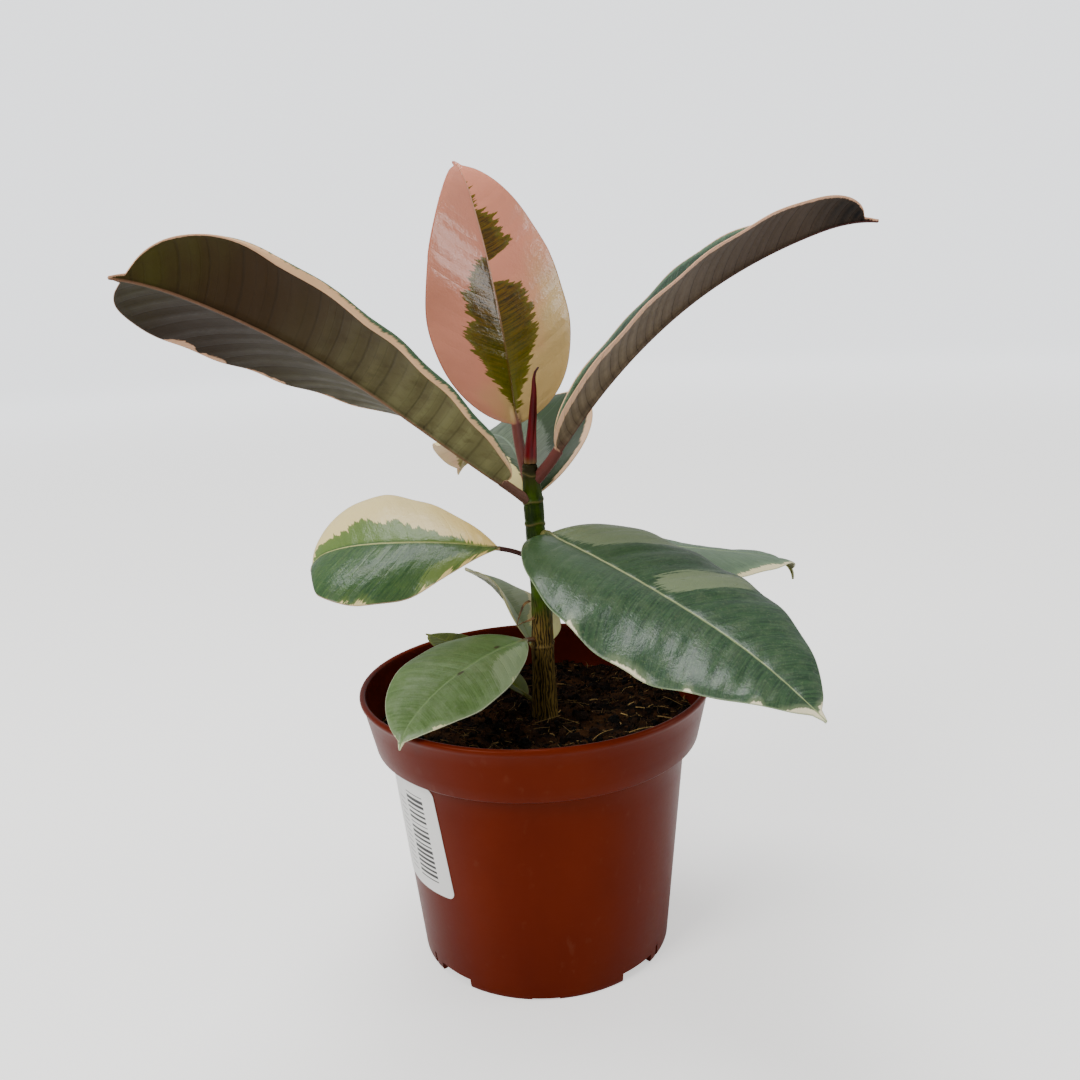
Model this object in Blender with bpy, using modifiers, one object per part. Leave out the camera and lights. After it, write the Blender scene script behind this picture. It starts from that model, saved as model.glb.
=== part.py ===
"""Young potted rubber plant: a leaning stem with ten leaves in a 12 cm nursery pot of soil.

Metres, +Z up. The pot stands on z = 0. Sizes below are in millimetres and degrees and are
turned into metres where meshes are made. The whole model is centred at the end, so that
the middle of its footprint is at the origin.
"""
import math

import bmesh
import bpy
from mathutils import Vector, noise

MM = 0.001
GAP = 0.3  # clearance between neighbouring solids

# Pot: a 12 cm nursery pot, measured over its rim
RIM_R = 60.0
POT_H = 95.5
COLLAR_BOTTOM_R = 55.3
COLLAR_BOTTOM_Z = 76.0
BODY_TOP_R = 50.9
BASE_R = 43.5
WALL = 1.2
FLOOR_UNDERSIDE_Z = 3.8
POT_STEPS = 48
FOOT_GAP_ANGLE = 19.0
FOOT_GAP_H = 3.2
FOOT_GAP_CENTRES = (-46.5, 43.5, 133.5, 223.5)
WATER_SLOT_ANGLES = (-32.0, 29.0, 151.0, 208.0)
WATER_SLOT_H = 4.6
WATER_SLOT_W = 1.3
NOTCH_ANGLES = (-92.0, 88.0)
NOTCH_W = 9.0
NOTCH_H = 0.7
DRAIN_R = 34.5
DRAIN_SIZE = 6.0

# Soil
SOIL_Z = 81.5
SOIL_BUMP = 0.9
SOIL_RINGS = (7.0, 12.0, 18.0, 25.0, 32.0, 40.0, 47.5)
SOIL_STEPS = 36
STEM_HOLE_DEPTH = 26.0

# Stem: centre line as height, offset to the right, radius
STEM_POINTS = (
    (56.0, 2.7, 4.3), (82.0, 2.9, 4.6), (88.0, 3.0, 4.4), (96.0, 3.1, 3.9), (107.0, 3.2, 3.9),
    (115.0, 3.4, 3.6), (124.0, 3.6, 3.5), (136.0, 3.0, 3.3), (146.0, 2.6, 3.3),
    (158.0, 2.3, 3.4), (166.0, 1.9, 2.7), (168.6, 1.6, 2.5), (170.0, 1.6, 2.4),
)
STEM_TOP_Z = 170.0
STIPULE_STRANDS = (
    ((-2.6, -3.2, 122.5), (-4.4, -4.2, 118.6), (-5.4, -4.6, 115.5)),
    ((-0.4, -3.4, 117.4), (-2.8, -4.4, 116.9), (-5.0, -4.6, 115.9)),
)
STRAND_R = 0.4

# Bud sheath: height above the stem's top, sideways offset, radius
SHEATH_POINTS = (
    (0.0, 0.0, 2.1), (1.5, 0.0, 2.15), (5.0, 0.3, 1.95), (10.0, 0.8, 1.55), (18.0, 1.6, 1.15), (24.0, 2.2, 0.8),
    (27.5, 2.3, 0.5), (30.0, 3.0, 0.35), (31.0, 3.9, 0.3),
)

# Label: a rounded sticker wrapped on the pot's left side, just under the collar
LABEL_W = 50.0
LABEL_H = 40.0
LABEL_CORNER = 3.0
LABEL_MIDDLE_Z = 52.2
LABEL_MIDDLE_AZ = -160.0
LABEL_TILT = 2.0
LABEL_THICK = 0.4

# Leaves: every list gives values at even stations from blade base to tip.
# height and heading place the leaf on the stem; petiole is its reach and rise to the blade,
# and the rise it leaves the stem with; blade is length and width; taper holds the powers of
# the outline at base and tip; rise, turn, roll, fold and curl bend the blade; hook turns the
# tip down at its end; drip is the share of the narrow tip; wave is height and number.
LEAVES = {
    "leaf_top": dict(
        height=166, heading=128, petiole=(17.8, 69, 48), petiole_r=1.7, blade=(90, 54),
        taper=(0.59, 0.76), lopsided=0.0, hook=-26, drip=0.03, rise=(82, 77, 72, 65),
        turn=(-4, 0, 3), roll=(-9, -6, -1, -4), fold=(7, 4, 10, 18), curl=(9, 9, 5), wave=(0.3, 4)),
    "leaf_upper_left": dict(
        height=156, heading=215, petiole=(16, 38, 39), petiole_r=1.5, blade=(136, 65),
        taper=(0.51, 0.42), lopsided=0.0, hook=-11, drip=0.03, rise=(37, 37, 28, 19),
        turn=(-1, 3, 8), roll=(-10, 5, 17, 34), fold=(27, 15, 13, 20), curl=(17, 25, 19),
        wave=(0.4, 6)),
    "leaf_upper_right": dict(
        height=163, heading=-15, petiole=(15, 50, 46), petiole_r=1.8, blade=(127, 47),
        taper=(0.5, 0.49), lopsided=0.0, hook=-20, drip=0.04, rise=(55, 43, 26, 13),
        turn=(10, 14, 18), roll=(3, -2, -2, -13), fold=(36, 27, 34, 38), curl=(16, 16, 15),
        wave=(0.3, 6)),
    "leaf_back": dict(
        height=149, heading=107, petiole=(9.8, 50, 40), petiole_r=1.2, blade=(87, 57),
        taper=(0.68, 0.72), lopsided=-0.2, hook=-2, drip=0.04, rise=(47, 15, -18, -52),
        turn=(-9, 6, 14), roll=(1, -10, -13, -7), fold=(31, 15, 14, 13), curl=(7, 11, 11),
        wave=(0.4, 5)),
    "leaf_mid_left": dict(
        height=136, heading=180, petiole=(14, 24, 37), petiole_r=0.8, blade=(70, 53),
        taper=(0.92, 0.46), lopsided=0.0, hook=-45, drip=0.04, rise=(11, 2, -6, -28),
        turn=(-3, -8, -17), roll=(-19, -32, -30, -25), fold=(13, 2, 7, 10), curl=(26, 30, 27),
        wave=(0.4, 4)),
    "leaf_front_right": dict(
        height=141, heading=-47, petiole=(8, 46, 55), petiole_r=1.3, blade=(117, 61),
        taper=(0.54, 0.75), lopsided=-0.03, hook=3, drip=0.03, rise=(-8, -13, -18, -29),
        turn=(-6, -4, -8), roll=(3, 5, 14, 5), fold=(19, 7, 0, 10), curl=(27, 28, 26),
        wave=(0.6, 6)),
    "leaf_right_back": dict(
        height=141, heading=22, petiole=(15, 7, 20), petiole_r=1.1, blade=(94, 43),
        taper=(0.58, 0.68), lopsided=-0.01, hook=-69, drip=0.05, rise=(-11, -13, -13, -19),
        turn=(-1, -2, -1), roll=(0, 5, 0, -1), fold=(6, 1, -3, 14), curl=(22, 28, 14), wave=(0.4, 5)),
    "leaf_front_left": dict(
        height=108, heading=222, petiole=(8, 20, 30), petiole_r=0.8, blade=(65, 37),
        taper=(0.88, 0.82), lopsided=-0.03, hook=-34, drip=0.04, rise=(4, -8, -19, -35),
        turn=(3, 6, 16), roll=(-11, -8, -10, -7), fold=(12, 7, 6, 10), curl=(22, 25, 24),
        wave=(0.2, 4)),
    "leaf_low_back": dict(
        height=102, heading=116, petiole=(8, 18, 10), petiole_r=0.9, blade=(55, 36),
        taper=(0.48, 0.81), lopsided=0.0, hook=-4, drip=0.04, rise=(35, 22, 11, -2),
        turn=(-4, 0, 0), roll=(32, 35, 28, 27), fold=(23, 24, 11, 12), curl=(5, 7, 8), wave=(0.2, 4)),
    "leaf_lowest": dict(
        height=86, heading=141, petiole=(8, 6, 0), petiole_r=0.8, blade=(51, 22),
        taper=(0.62, 0.68), lopsided=0.0, hook=-1, drip=0.04, rise=(26, 20, 13, 5),
        turn=(-1, -2, -2), roll=(16, 14, 4, 0), fold=(10, 9, 11, 11), curl=(10, 10, 9), wave=(0.2, 3)),
}
BLADE_THICK = 0.65
STATION_PITCH = 7.0
PETIOLE_STATIONS = 4
END_CROWDING = 0.06
MIDRIB_STEPS = 240
HOOK_START = 0.84
# Columns across half a blade: two on the midrib, then even ones out to the margin
RIB_COLUMNS = (0.0, 0.6, 1.0)
OUTER_COLUMNS = (0.3, 0.62, 1.0)


def stem_at(height):
    """Centre offset and radius of the stem at a height, straight between its points."""
    for (z0, x0, r0), (z1, x1, r1) in zip(STEM_POINTS, STEM_POINTS[1:]):
        if height <= z1:
            t = max(0.0, (height - z0) / (z1 - z0))
            return x0 + (x1 - x0) * t, r0 + (r1 - r0) * t
    return STEM_POINTS[-1][1], STEM_POINTS[-1][2]


def along(values, s):
    """A smooth curve through values at even stations, read at s from 0 to 1."""
    last = len(values) - 1
    x = min(max(s * last, 0.0), last - 1e-9)
    i = int(x)
    t = x - i
    p0 = values[max(i - 1, 0)]
    p1 = values[i]
    p2 = values[i + 1]
    p3 = values[min(i + 2, last)]
    bend = (2 * p0 - 5 * p1 + 4 * p2 - p3) * t * t + (3 * p1 - p0 - 3 * p2 + p3) * t ** 3
    return 0.5 * (2 * p1 + (p2 - p0) * t + bend)


def direction(heading, rise):
    h = math.radians(heading)
    r = math.radians(rise)
    return Vector((math.cos(r) * math.cos(h), math.cos(r) * math.sin(h), math.sin(r)))


def half_width(leaf, s):
    """Half the blade's width at s: an oval with a narrow drip tip."""
    base, tip = leaf["taper"]
    drip = leaf["drip"]
    widest = base / (base + tip)
    t = min(s / (1 - drip), 1.0)
    oval = (t / widest) ** base * ((1 - t) / (1 - widest)) ** tip
    point = 0.1 * min((1 - s) / (2 * drip), 1.0) ** 0.8
    share = math.hypot(oval, point) if s > 0.6 else oval
    return leaf["blade"][1] / 2 * share


def blade_way(leaf, s):
    """The midrib's direction at s, with the blade's left and up."""
    hook = leaf["hook"] * max(0.0, (s - HOOK_START) / (1 - HOOK_START)) ** 1.5
    heading = leaf["heading"] + along(leaf["turn"], s)
    forward = direction(heading, along(leaf["rise"], s) + hook)
    level = direction(heading + 90, 0)
    above = forward.cross(level)
    roll = math.radians(along(leaf["roll"], s))
    left = level * math.cos(roll) + above * math.sin(roll)
    up = above * math.cos(roll) - level * math.sin(roll)
    return forward, left, up


def blade_frames(leaf, stations):
    """A frame at each station: point on the midrib, forward, left, up and s."""
    x0, _ = stem_at(leaf["height"])
    reach, rise, _ = leaf["petiole"]
    point = Vector((x0, 0, leaf["height"])) + direction(leaf["heading"], rise) * reach
    step = leaf["blade"][0] / MIDRIB_STEPS
    places = [point]
    for i in range(MIDRIB_STEPS):
        forward, _, _ = blade_way(leaf, (i + 0.5) / MIDRIB_STEPS)
        places.append(places[-1] + forward * step)
    frames = []
    for s in stations:
        k = round(s * MIDRIB_STEPS)
        forward, left, up = blade_way(leaf, k / MIDRIB_STEPS)
        frames.append((places[k], forward, left, up, k / MIDRIB_STEPS))
    return frames


def across(leaf, s, reach, side):
    """Sideways and upward place of a point on the half blade, and its slope."""
    width = half_width(leaf, s) * (1 + side * leaf["lopsided"])
    fold = math.radians(along(leaf["fold"], s))
    curl = math.radians(along(leaf["curl"], s))
    size, count = leaf["wave"]
    x = z = 0.0
    steps = 8
    slope = fold
    for k in range(steps):
        u = (k + 0.5) / steps * reach
        slope = fold - curl * u * u
        x += math.cos(slope) * width * reach / steps
        z += math.sin(slope) * width * reach / steps
    slope = fold - curl * reach * reach
    z += size * math.sin(2 * math.pi * count * s + side) * reach ** 2 * math.sin(math.pi * s)
    return x, z, slope


def blade_section(leaf, frame, rib_r):
    """Ring of points round the blade at one station: top left to right, then bottom."""
    point, _, left, up, s = frame
    width = half_width(leaf, s)
    rib = min(rib_r, width * 0.5)
    columns = [(c * rib / max(width, 1e-6), math.sqrt(1 - c * c)) for c in RIB_COLUMNS]
    start = columns[-1][0]
    columns += [(start + (1 - start) * c, 0.0) for c in OUTER_COLUMNS]
    top = []
    bottom = []
    sides = [(1, c) for c in reversed(columns[1:])] + [(1, columns[0])]
    sides += [(-1, c) for c in columns[1:]]
    for side, (reach, bulge) in sides:
        x, z, slope = across(leaf, s, reach, side)
        place = point + left * (side * x) + up * z
        normal = up * math.cos(slope) - left * (side * math.sin(slope))
        if reach == 0:
            normal = up
        top.append(place + normal * (BLADE_THICK / 2))
        bottom.append(place - normal * (BLADE_THICK / 2 + rib * 0.9 * bulge))
    return top, bottom


def petiole_section(centre, left, up, radius, count):
    """Ring of points round the petiole, matching the blade's rings in number."""
    top = []
    bottom = []
    for i in range(count):
        angle = math.pi * (1 - (i + 0.5) / count)
        offset = left * -math.cos(angle) * radius
        rise = up * math.sin(angle) * radius
        top.append(centre + offset + rise)
        bottom.append(centre + offset - rise)
    return top, bottom


def stem_distance(p):
    """How far a point stands out from the stem's skin."""
    x0, radius = stem_at(p.z)
    return math.hypot(p.x - x0, p.y) - radius


def seated_on_stem(points, outward, clearance):
    """Slides each point along the petiole until it stands just clear of the stem."""
    seated = []
    for p in points:
        place = p.copy()
        for _ in range(12):
            place -= outward * (stem_distance(place) - clearance) * 0.8
        seated.append(place)
    return seated


def petiole_sections(leaf, frame, count):
    """Rings from the stem's skin to the blade's base, bending from one to the other."""
    base, forward, left, _, _ = frame
    x0, _ = stem_at(leaf["height"])
    root = Vector((x0, 0, leaf["height"]))
    outward = direction(leaf["heading"], leaf["petiole"][2])
    handle = leaf["petiole"][0] * 0.4
    a = root + outward * handle
    b = base - forward * handle
    side = direction(leaf["heading"] + 90, 0)

    def ring(t):
        centre = (root * (1 - t) ** 3 + a * 3 * t * (1 - t) ** 2
                  + b * 3 * t * t * (1 - t) + base * t ** 3)
        way = ((a - root) * (1 - t) ** 2 + (b - a) * 2 * t * (1 - t)
               + (base - b) * t * t).normalized()
        level = side * (1 - t) + left * t
        level = (level - way * level.dot(way)).normalized()
        radius = leaf["petiole_r"] * (1 + 0.2 * (1 - t) ** 2)
        return way, petiole_section(centre, level, way.cross(level), radius, count)

    t0 = 0.0
    clear = False
    while not clear and t0 < 0.9:
        t0 += 0.02
        way, (top, bottom) = ring(t0)
        clear = min(stem_distance(p) for p in top + bottom) > 2 * GAP
    middle = sum(top + bottom, Vector()) / (2 * count)
    hub = seated_on_stem([middle], way, 1.5 * GAP)[0]
    rings = [(seated_on_stem(top, way, GAP), seated_on_stem(bottom, way, GAP))]
    for i in range(PETIOLE_STATIONS):
        rings.append(ring(t0 + (1 - t0) * i / (PETIOLE_STATIONS - 1))[1])
    return hub, rings


def leaf_sections(leaf):
    """All rings of a leaf, from where its petiole meets the stem to the blade's tip."""
    count = round(leaf["blade"][0] / STATION_PITCH) + 2
    even = [i / (count - 1) for i in range(count)]
    stations = [x - END_CROWDING * math.sin(2 * math.pi * x) for x in even]
    frames = blade_frames(leaf, stations)
    blade = []
    for frame in frames[1:-1]:
        blade.append(blade_section(leaf, frame, leaf["petiole_r"] * (1 - 0.75 * frame[4])))
    hub, petiole = petiole_sections(leaf, frames[0], len(blade[0][0]))
    return petiole + blade, hub, frames[-1][0]


def loft_leaf(name, leaf):
    """One closed skin over a leaf's rings. Both faces are split the same way."""
    sections, seat, tip = leaf_sections(leaf)
    bm = bmesh.new()
    rings = []
    for top, bottom in sections:
        rings.append((
            [bm.verts.new(p * MM) for p in top],
            [bm.verts.new(p * MM) for p in bottom],
        ))
    count = len(rings[0][0])
    for (top0, low0), (top1, low1) in zip(rings, rings[1:]):
        for j in range(count - 1):
            bm.faces.new((top0[j], top0[j + 1], top1[j + 1]))
            bm.faces.new((top0[j], top1[j + 1], top1[j]))
            bm.faces.new((low0[j], low1[j + 1], low0[j + 1]))
            bm.faces.new((low0[j], low1[j], low1[j + 1]))
        for j in (0, count - 1):
            bm.faces.new((top0[j], top1[j], low1[j]))
            bm.faces.new((top0[j], low1[j], low0[j]))
    for (top, low), centre in ((rings[0], seat), (rings[-1], tip)):
        loop = top + low[::-1]
        hub = bm.verts.new(centre * MM)
        for a, b in zip(loop, loop[1:] + loop[:1]):
            bm.faces.new((hub, a, b))
    bmesh.ops.recalc_face_normals(bm, faces=bm.faces)
    mesh = bpy.data.meshes.new(name)
    bm.to_mesh(mesh)
    bm.free()
    mesh.shade_smooth()
    mesh.set_sharp_from_angle(angle=math.radians(50))
    return bpy.data.objects.new(name, mesh)


def turned(name, profile, steps):
    """A profile of (radius, height) in mm turned round Z. It runs down its outer side."""
    mesh = bpy.data.meshes.new(name)
    points = [(r * MM, 0, z * MM) for r, z in profile]
    edges = [(i, i + 1) for i in range(len(points) - 1)]
    mesh.from_pydata(points, edges, [])
    obj = bpy.data.objects.new(name, mesh)
    screw = obj.modifiers.new("turn", "SCREW")
    screw.steps = steps
    screw.render_steps = steps
    screw.use_merge_vertices = True
    screw.merge_threshold = 0.00001
    screw.use_smooth_shade = True
    return obj


def solid_mesh(obj):
    """Replaces an object by the plain mesh it evaluates to, with its doubles merged."""
    graph = bpy.context.evaluated_depsgraph_get()
    graph.update()
    mesh = bpy.data.meshes.new_from_object(obj.evaluated_get(graph))
    bm = bmesh.new()
    bm.from_mesh(mesh)
    bmesh.ops.remove_doubles(bm, verts=bm.verts, dist=0.00001)
    bmesh.ops.recalc_face_normals(bm, faces=bm.faces)
    bm.to_mesh(mesh)
    bm.free()
    name = obj.name
    made = bpy.data.objects.new(name, mesh)
    made.matrix_world = obj.matrix_world
    for collection in list(obj.users_collection):
        collection.objects.unlink(obj)
        collection.objects.link(made)
    bpy.data.objects.remove(obj)
    made.name = name
    return made


def tube(name, points, bevel_resolution, collection):
    """A tapered tube along (place, radius) points in mm, as a closed mesh."""
    curve = bpy.data.curves.new(name, "CURVE")
    curve.dimensions = "3D"
    curve.bevel_depth = MM
    curve.bevel_resolution = bevel_resolution
    curve.use_fill_caps = True
    spline = curve.splines.new("POLY")
    spline.points.add(len(points) - 1)
    for control, (place, radius) in zip(spline.points, points):
        control.co = (*(Vector(place) * MM), 1)
        control.radius = radius
    obj = bpy.data.objects.new(name, curve)
    collection.objects.link(obj)
    return solid_mesh(obj)


def boolean(obj, operation, other):
    modifier = obj.modifiers.new(operation.lower(), "BOOLEAN")
    modifier.operation = operation
    modifier.solver = "EXACT"
    if isinstance(other, bpy.types.Collection):
        modifier.operand_type = "COLLECTION"
        modifier.collection = other
    else:
        modifier.object = other


def cutter_box(size, place, turn, collection):
    """A box cutter at a place in mm, turned about Z."""
    mesh = bpy.data.meshes.new("cutter")
    bm = bmesh.new()
    bmesh.ops.create_cube(bm, size=1)
    bm.to_mesh(mesh)
    bm.free()
    obj = bpy.data.objects.new("cutter", mesh)
    obj.scale = Vector(size) * MM
    obj.location = Vector(place) * MM
    obj.rotation_euler = (0, 0, math.radians(turn))
    obj.hide_render = True
    obj.display_type = "WIRE"
    collection.objects.link(obj)
    return obj


def material(name, color, roughness, metallic=0.0):
    made = bpy.data.materials.new(name)
    made.use_nodes = True
    shader = made.node_tree.nodes["Principled BSDF"]
    shader.inputs["Base Color"].default_value = (*color, 1)
    shader.inputs["Roughness"].default_value = roughness
    shader.inputs["Metallic"].default_value = metallic
    return made


def body_radius(z):
    """Outer radius of the pot's tapered body."""
    return BASE_R + (BODY_TOP_R - BASE_R) * z / COLLAR_BOTTOM_Z


def pot_profile():
    """Section of the pot wall, down its outer side, under the floor and up inside."""
    floor_top = FLOOR_UNDERSIDE_Z + 1.4
    step = COLLAR_BOTTOM_Z
    return (
        (RIM_R - 1.9, POT_H - 0.4), (RIM_R - 1.2, POT_H), (RIM_R - 0.4, POT_H - 0.2), (RIM_R, POT_H - 0.9),
        (RIM_R - 0.3, POT_H - 1.9), (RIM_R - 1.0, POT_H - 2.9), (COLLAR_BOTTOM_R + 0.3, step + 1.2),
        (COLLAR_BOTTOM_R - 0.2, step + 0.3), (COLLAR_BOTTOM_R - 1.2, step),
        (BODY_TOP_R + 0.5, step - 0.4), (BODY_TOP_R - 0.1, step - 1.4),
        (BASE_R + 0.15, 1.4), (BASE_R - 0.4, 0.0), (BASE_R - WALL - 0.8, 0.0),
        (BASE_R - WALL - 0.9, 1.2), (BASE_R - WALL - 1.6, FLOOR_UNDERSIDE_Z),
        (0.0, FLOOR_UNDERSIDE_Z), (0.0, floor_top), (body_radius(floor_top) - WALL - 0.8, floor_top),
        (body_radius(floor_top + 1.2) - WALL, floor_top + 1.2), (BODY_TOP_R - WALL - 0.1, step - 0.2),
        (BODY_TOP_R - 0.2, step + 1.1), (COLLAR_BOTTOM_R - WALL - 0.8, step + 1.6),
        (COLLAR_BOTTOM_R - WALL, step + 2.6), (RIM_R - 2.2, POT_H - 2.6),
    )


def make_pot(parts, cutters):
    profile = pot_profile()
    pot = turned("pot", profile + profile[:1], POT_STEPS)
    parts.objects.link(pot)
    pot = solid_mesh(pot)
    for centre in FOOT_GAP_CENTRES:
        way = direction(centre, 0)
        width = 2 * BASE_R * math.sin(math.radians(FOOT_GAP_ANGLE / 2))
        cutter_box((8, width, 2 * FOOT_GAP_H), way * (BASE_R + 0.6), centre, cutters)
        drain = way * DRAIN_R + Vector((0, 0, FLOOR_UNDERSIDE_Z))
        cutter_box((DRAIN_SIZE, DRAIN_SIZE, 8), drain, centre, cutters)
    for angle in WATER_SLOT_ANGLES:
        way = direction(angle, 0)
        cutter_box((6, WATER_SLOT_W, 2 * WATER_SLOT_H), way * BASE_R, angle, cutters)
    for angle in NOTCH_ANGLES:
        cutter_box((6, NOTCH_W, 2 * NOTCH_H), direction(angle, 0) * BASE_R, angle, cutters)
    boolean(pot, "DIFFERENCE", cutters)
    return pot


def make_soil(parts, cutters):
    """Soil filled up to the collar, with a lumpy top and a hole for the stem."""
    floor = FLOOR_UNDERSIDE_Z + 1.4 + GAP
    step = COLLAR_BOTTOM_Z
    top_r = COLLAR_BOTTOM_R - WALL + (SOIL_Z - step) * 0.2 - 0.95
    profile = [(0.0, SOIL_Z)] + [(r, SOIL_Z) for r in SOIL_RINGS] + [
        (top_r, SOIL_Z - 0.5), (COLLAR_BOTTOM_R - WALL - 0.6, step + 3.0),
        (COLLAR_BOTTOM_R - WALL - 1.4, step + 2.1), (BODY_TOP_R - 0.9, step + 1.4),
        (BODY_TOP_R - WALL - 0.6, step + 0.2), (body_radius(floor + 2) - WALL - 0.5, floor + 2),
        (body_radius(floor) - WALL - 1.8, floor), (0.0, floor),
    ]
    soil = turned("soil", profile, SOIL_STEPS)
    parts.objects.link(soil)
    soil = solid_mesh(soil)
    for vertex in soil.data.vertices:
        place = vertex.co / MM
        reach = math.hypot(place.x, place.y)
        if place.z > SOIL_Z - 0.2:
            lump = noise.noise(Vector((place.x, place.y, 0)) * 0.16)
            vertex.co.z += (lump * 1.6 * SOIL_BUMP - 0.02 * reach * SOIL_BUMP) * MM
    x0, _ = stem_at(SOIL_Z)
    bm = bmesh.new()
    depth = STEM_HOLE_DEPTH + 10
    hole_r = max(r for _, _, r in STEM_POINTS) + GAP
    bmesh.ops.create_cone(bm, cap_ends=True, segments=20, radius1=hole_r * MM, radius2=hole_r * MM,
                          depth=depth * MM)
    mesh = bpy.data.meshes.new("stem_hole")
    bm.to_mesh(mesh)
    bm.free()
    hole = bpy.data.objects.new("stem_hole", mesh)
    hole.location = Vector((x0, 0, SOIL_Z - STEM_HOLE_DEPTH + depth / 2)) * MM
    hole.hide_render = True
    hole.display_type = "WIRE"
    cutters.objects.link(hole)
    boolean(soil, "DIFFERENCE", hole)
    return soil


def make_stem(parts, strands):
    points = [((x0, 0, z), radius) for z, x0, radius in STEM_POINTS]
    stem = tube("stem", points, 6, parts)
    for route in STIPULE_STRANDS:
        run = [(place, STRAND_R * (1 - 0.25 * i)) for i, place in enumerate(route)]
        start = Vector(route[0]) + Vector((2.2, 2.4, 0.6))
        run.insert(0, (start, STRAND_R))
        tube("strand", run, 1, strands)
    boolean(stem, "UNION", strands)
    return apply_modifiers(stem)


def apply_modifiers(obj):
    name = obj.name
    graph = bpy.context.evaluated_depsgraph_get()
    graph.update()
    obj.data = bpy.data.meshes.new_from_object(obj.evaluated_get(graph))
    obj.modifiers.clear()
    obj.data.name = name
    return obj


def make_sheath(parts):
    x0, _ = stem_at(STEM_TOP_Z)
    base = Vector((x0 + 0.4, -0.4, STEM_TOP_Z + GAP))
    points = [(base + Vector((dx, -0.15 * dx, dz)), r) for dz, dx, r in SHEATH_POINTS]
    return tube("bud_sheath", points, 3, parts)


def on_body(x, y, lift):
    """A point of the label's flat sheet, wrapped on the pot's cone."""
    lean = math.atan2(BODY_TOP_R - BASE_R, COLLAR_BOTTOM_Z)
    apex = body_radius(LABEL_MIDDLE_Z) / math.sin(lean)
    tilt = math.radians(LABEL_TILT)
    flat_x = x * math.cos(tilt) - y * math.sin(tilt)
    flat_y = x * math.sin(tilt) + y * math.cos(tilt) + apex
    radius = math.hypot(flat_x, flat_y) * math.sin(lean)
    turn = math.radians(LABEL_MIDDLE_AZ) + math.atan2(flat_x, flat_y) / math.sin(lean)
    z = (radius - BASE_R) * COLLAR_BOTTOM_Z / (BODY_TOP_R - BASE_R)
    return Vector(((radius + lift) * math.cos(turn), (radius + lift) * math.sin(turn), z))


def make_label(parts):
    """A rounded rectangle laid on the pot's cone, given its thickness by Solidify."""
    half_w = LABEL_W / 2
    half_h = LABEL_H / 2
    corner = [LABEL_CORNER * (1 - math.cos(math.radians(a))) for a in (5, 35, 62, 90)]
    inner = [-half_w + LABEL_CORNER + (LABEL_W - 2 * LABEL_CORNER) * i / 11 for i in range(12)]
    columns = [-half_w + c for c in corner[:-1]] + inner + [half_w - c for c in corner[:-1][::-1]]
    bm = bmesh.new()
    edges = []
    for x in columns:
        into = max(0.0, abs(x) - (half_w - LABEL_CORNER))
        reach = half_h - LABEL_CORNER + math.sqrt(max(LABEL_CORNER ** 2 - into ** 2, 0.0))
        edges.append([bm.verts.new(on_body(x, y, GAP) * MM) for y in (-reach, reach)])
    for (low0, high0), (low1, high1) in zip(edges, edges[1:]):
        bm.faces.new((low0, low1, high1))
        bm.faces.new((low0, high1, high0))
    mesh = bpy.data.meshes.new("label")
    bm.to_mesh(mesh)
    bm.free()
    label = bpy.data.objects.new("label", mesh)
    parts.objects.link(label)
    solidify = label.modifiers.new("thickness", "SOLIDIFY")
    solidify.thickness = LABEL_THICK * MM
    solidify.offset = 1
    return label


def centre_on_footprint(parts):
    """Moves everything so that the middle of the model's box is over the origin."""
    graph = bpy.context.evaluated_depsgraph_get()
    graph.update()
    low = [math.inf, math.inf]
    high = [-math.inf, -math.inf]
    for obj in parts.objects:
        mesh = obj.evaluated_get(graph).data
        for vertex in mesh.vertices:
            for axis in (0, 1):
                low[axis] = min(low[axis], vertex.co[axis])
                high[axis] = max(high[axis], vertex.co[axis])
    shift = Vector((-(low[0] + high[0]) / 2, -(low[1] + high[1]) / 2, 0))
    return shift


def main():
    for obj in list(bpy.data.objects):
        bpy.data.objects.remove(obj)
    scene = bpy.context.scene.collection
    parts = bpy.data.collections.new("rubber_plant")
    cutters = bpy.data.collections.new("cutters")
    strands = bpy.data.collections.new("strands")
    hole_cutters = bpy.data.collections.new("hole_cutters")
    for collection in (parts, cutters, strands, hole_cutters):
        scene.children.link(collection)
    make_pot(parts, cutters)
    make_soil(parts, hole_cutters)
    make_stem(parts, strands)
    for obj in list(strands.objects):
        bpy.data.objects.remove(obj)
    make_sheath(parts)
    make_label(parts)
    for name, leaf in LEAVES.items():
        parts.objects.link(loft_leaf(name, leaf))
    finishes = {
        "pot": material("pot_plastic", (0.33, 0.07, 0.03), 0.4),
        "soil": material("soil", (0.03, 0.02, 0.014), 0.95),
        "stem": material("stem_bark", (0.10, 0.09, 0.03), 0.6),
        "bud_sheath": material("sheath_red", (0.25, 0.01, 0.03), 0.35),
        "label": material("label_paper", (0.8, 0.84, 0.86), 0.5),
        "leaf_top": material("young_leaf", (0.62, 0.28, 0.18), 0.3),
    }
    green = material("leaf_green", (0.07, 0.16, 0.07), 0.3)
    shift = centre_on_footprint(parts)
    anchor = bpy.data.objects.new("rubber_plant_anchor", None)
    scene.objects.link(anchor)
    anchor.location = shift
    for obj in list(parts.objects) + list(cutters.objects) + list(hole_cutters.objects):
        obj.parent = anchor
        if obj.name in parts.objects:
            obj.data.materials.clear()
            obj.data.materials.append(finishes.get(obj.name, green))


if __name__ == "__main__":
    main()
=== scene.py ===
"""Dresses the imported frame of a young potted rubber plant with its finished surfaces.

Everything is in the frame's metres. Sizes in the tables below are in millimetres and
degrees, measured from the pot's axis, and are moved onto the frame where meshes are made.
"""
import math

import bmesh
import bpy
import numpy as np
from mathutils import Matrix, Vector, noise


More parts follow.
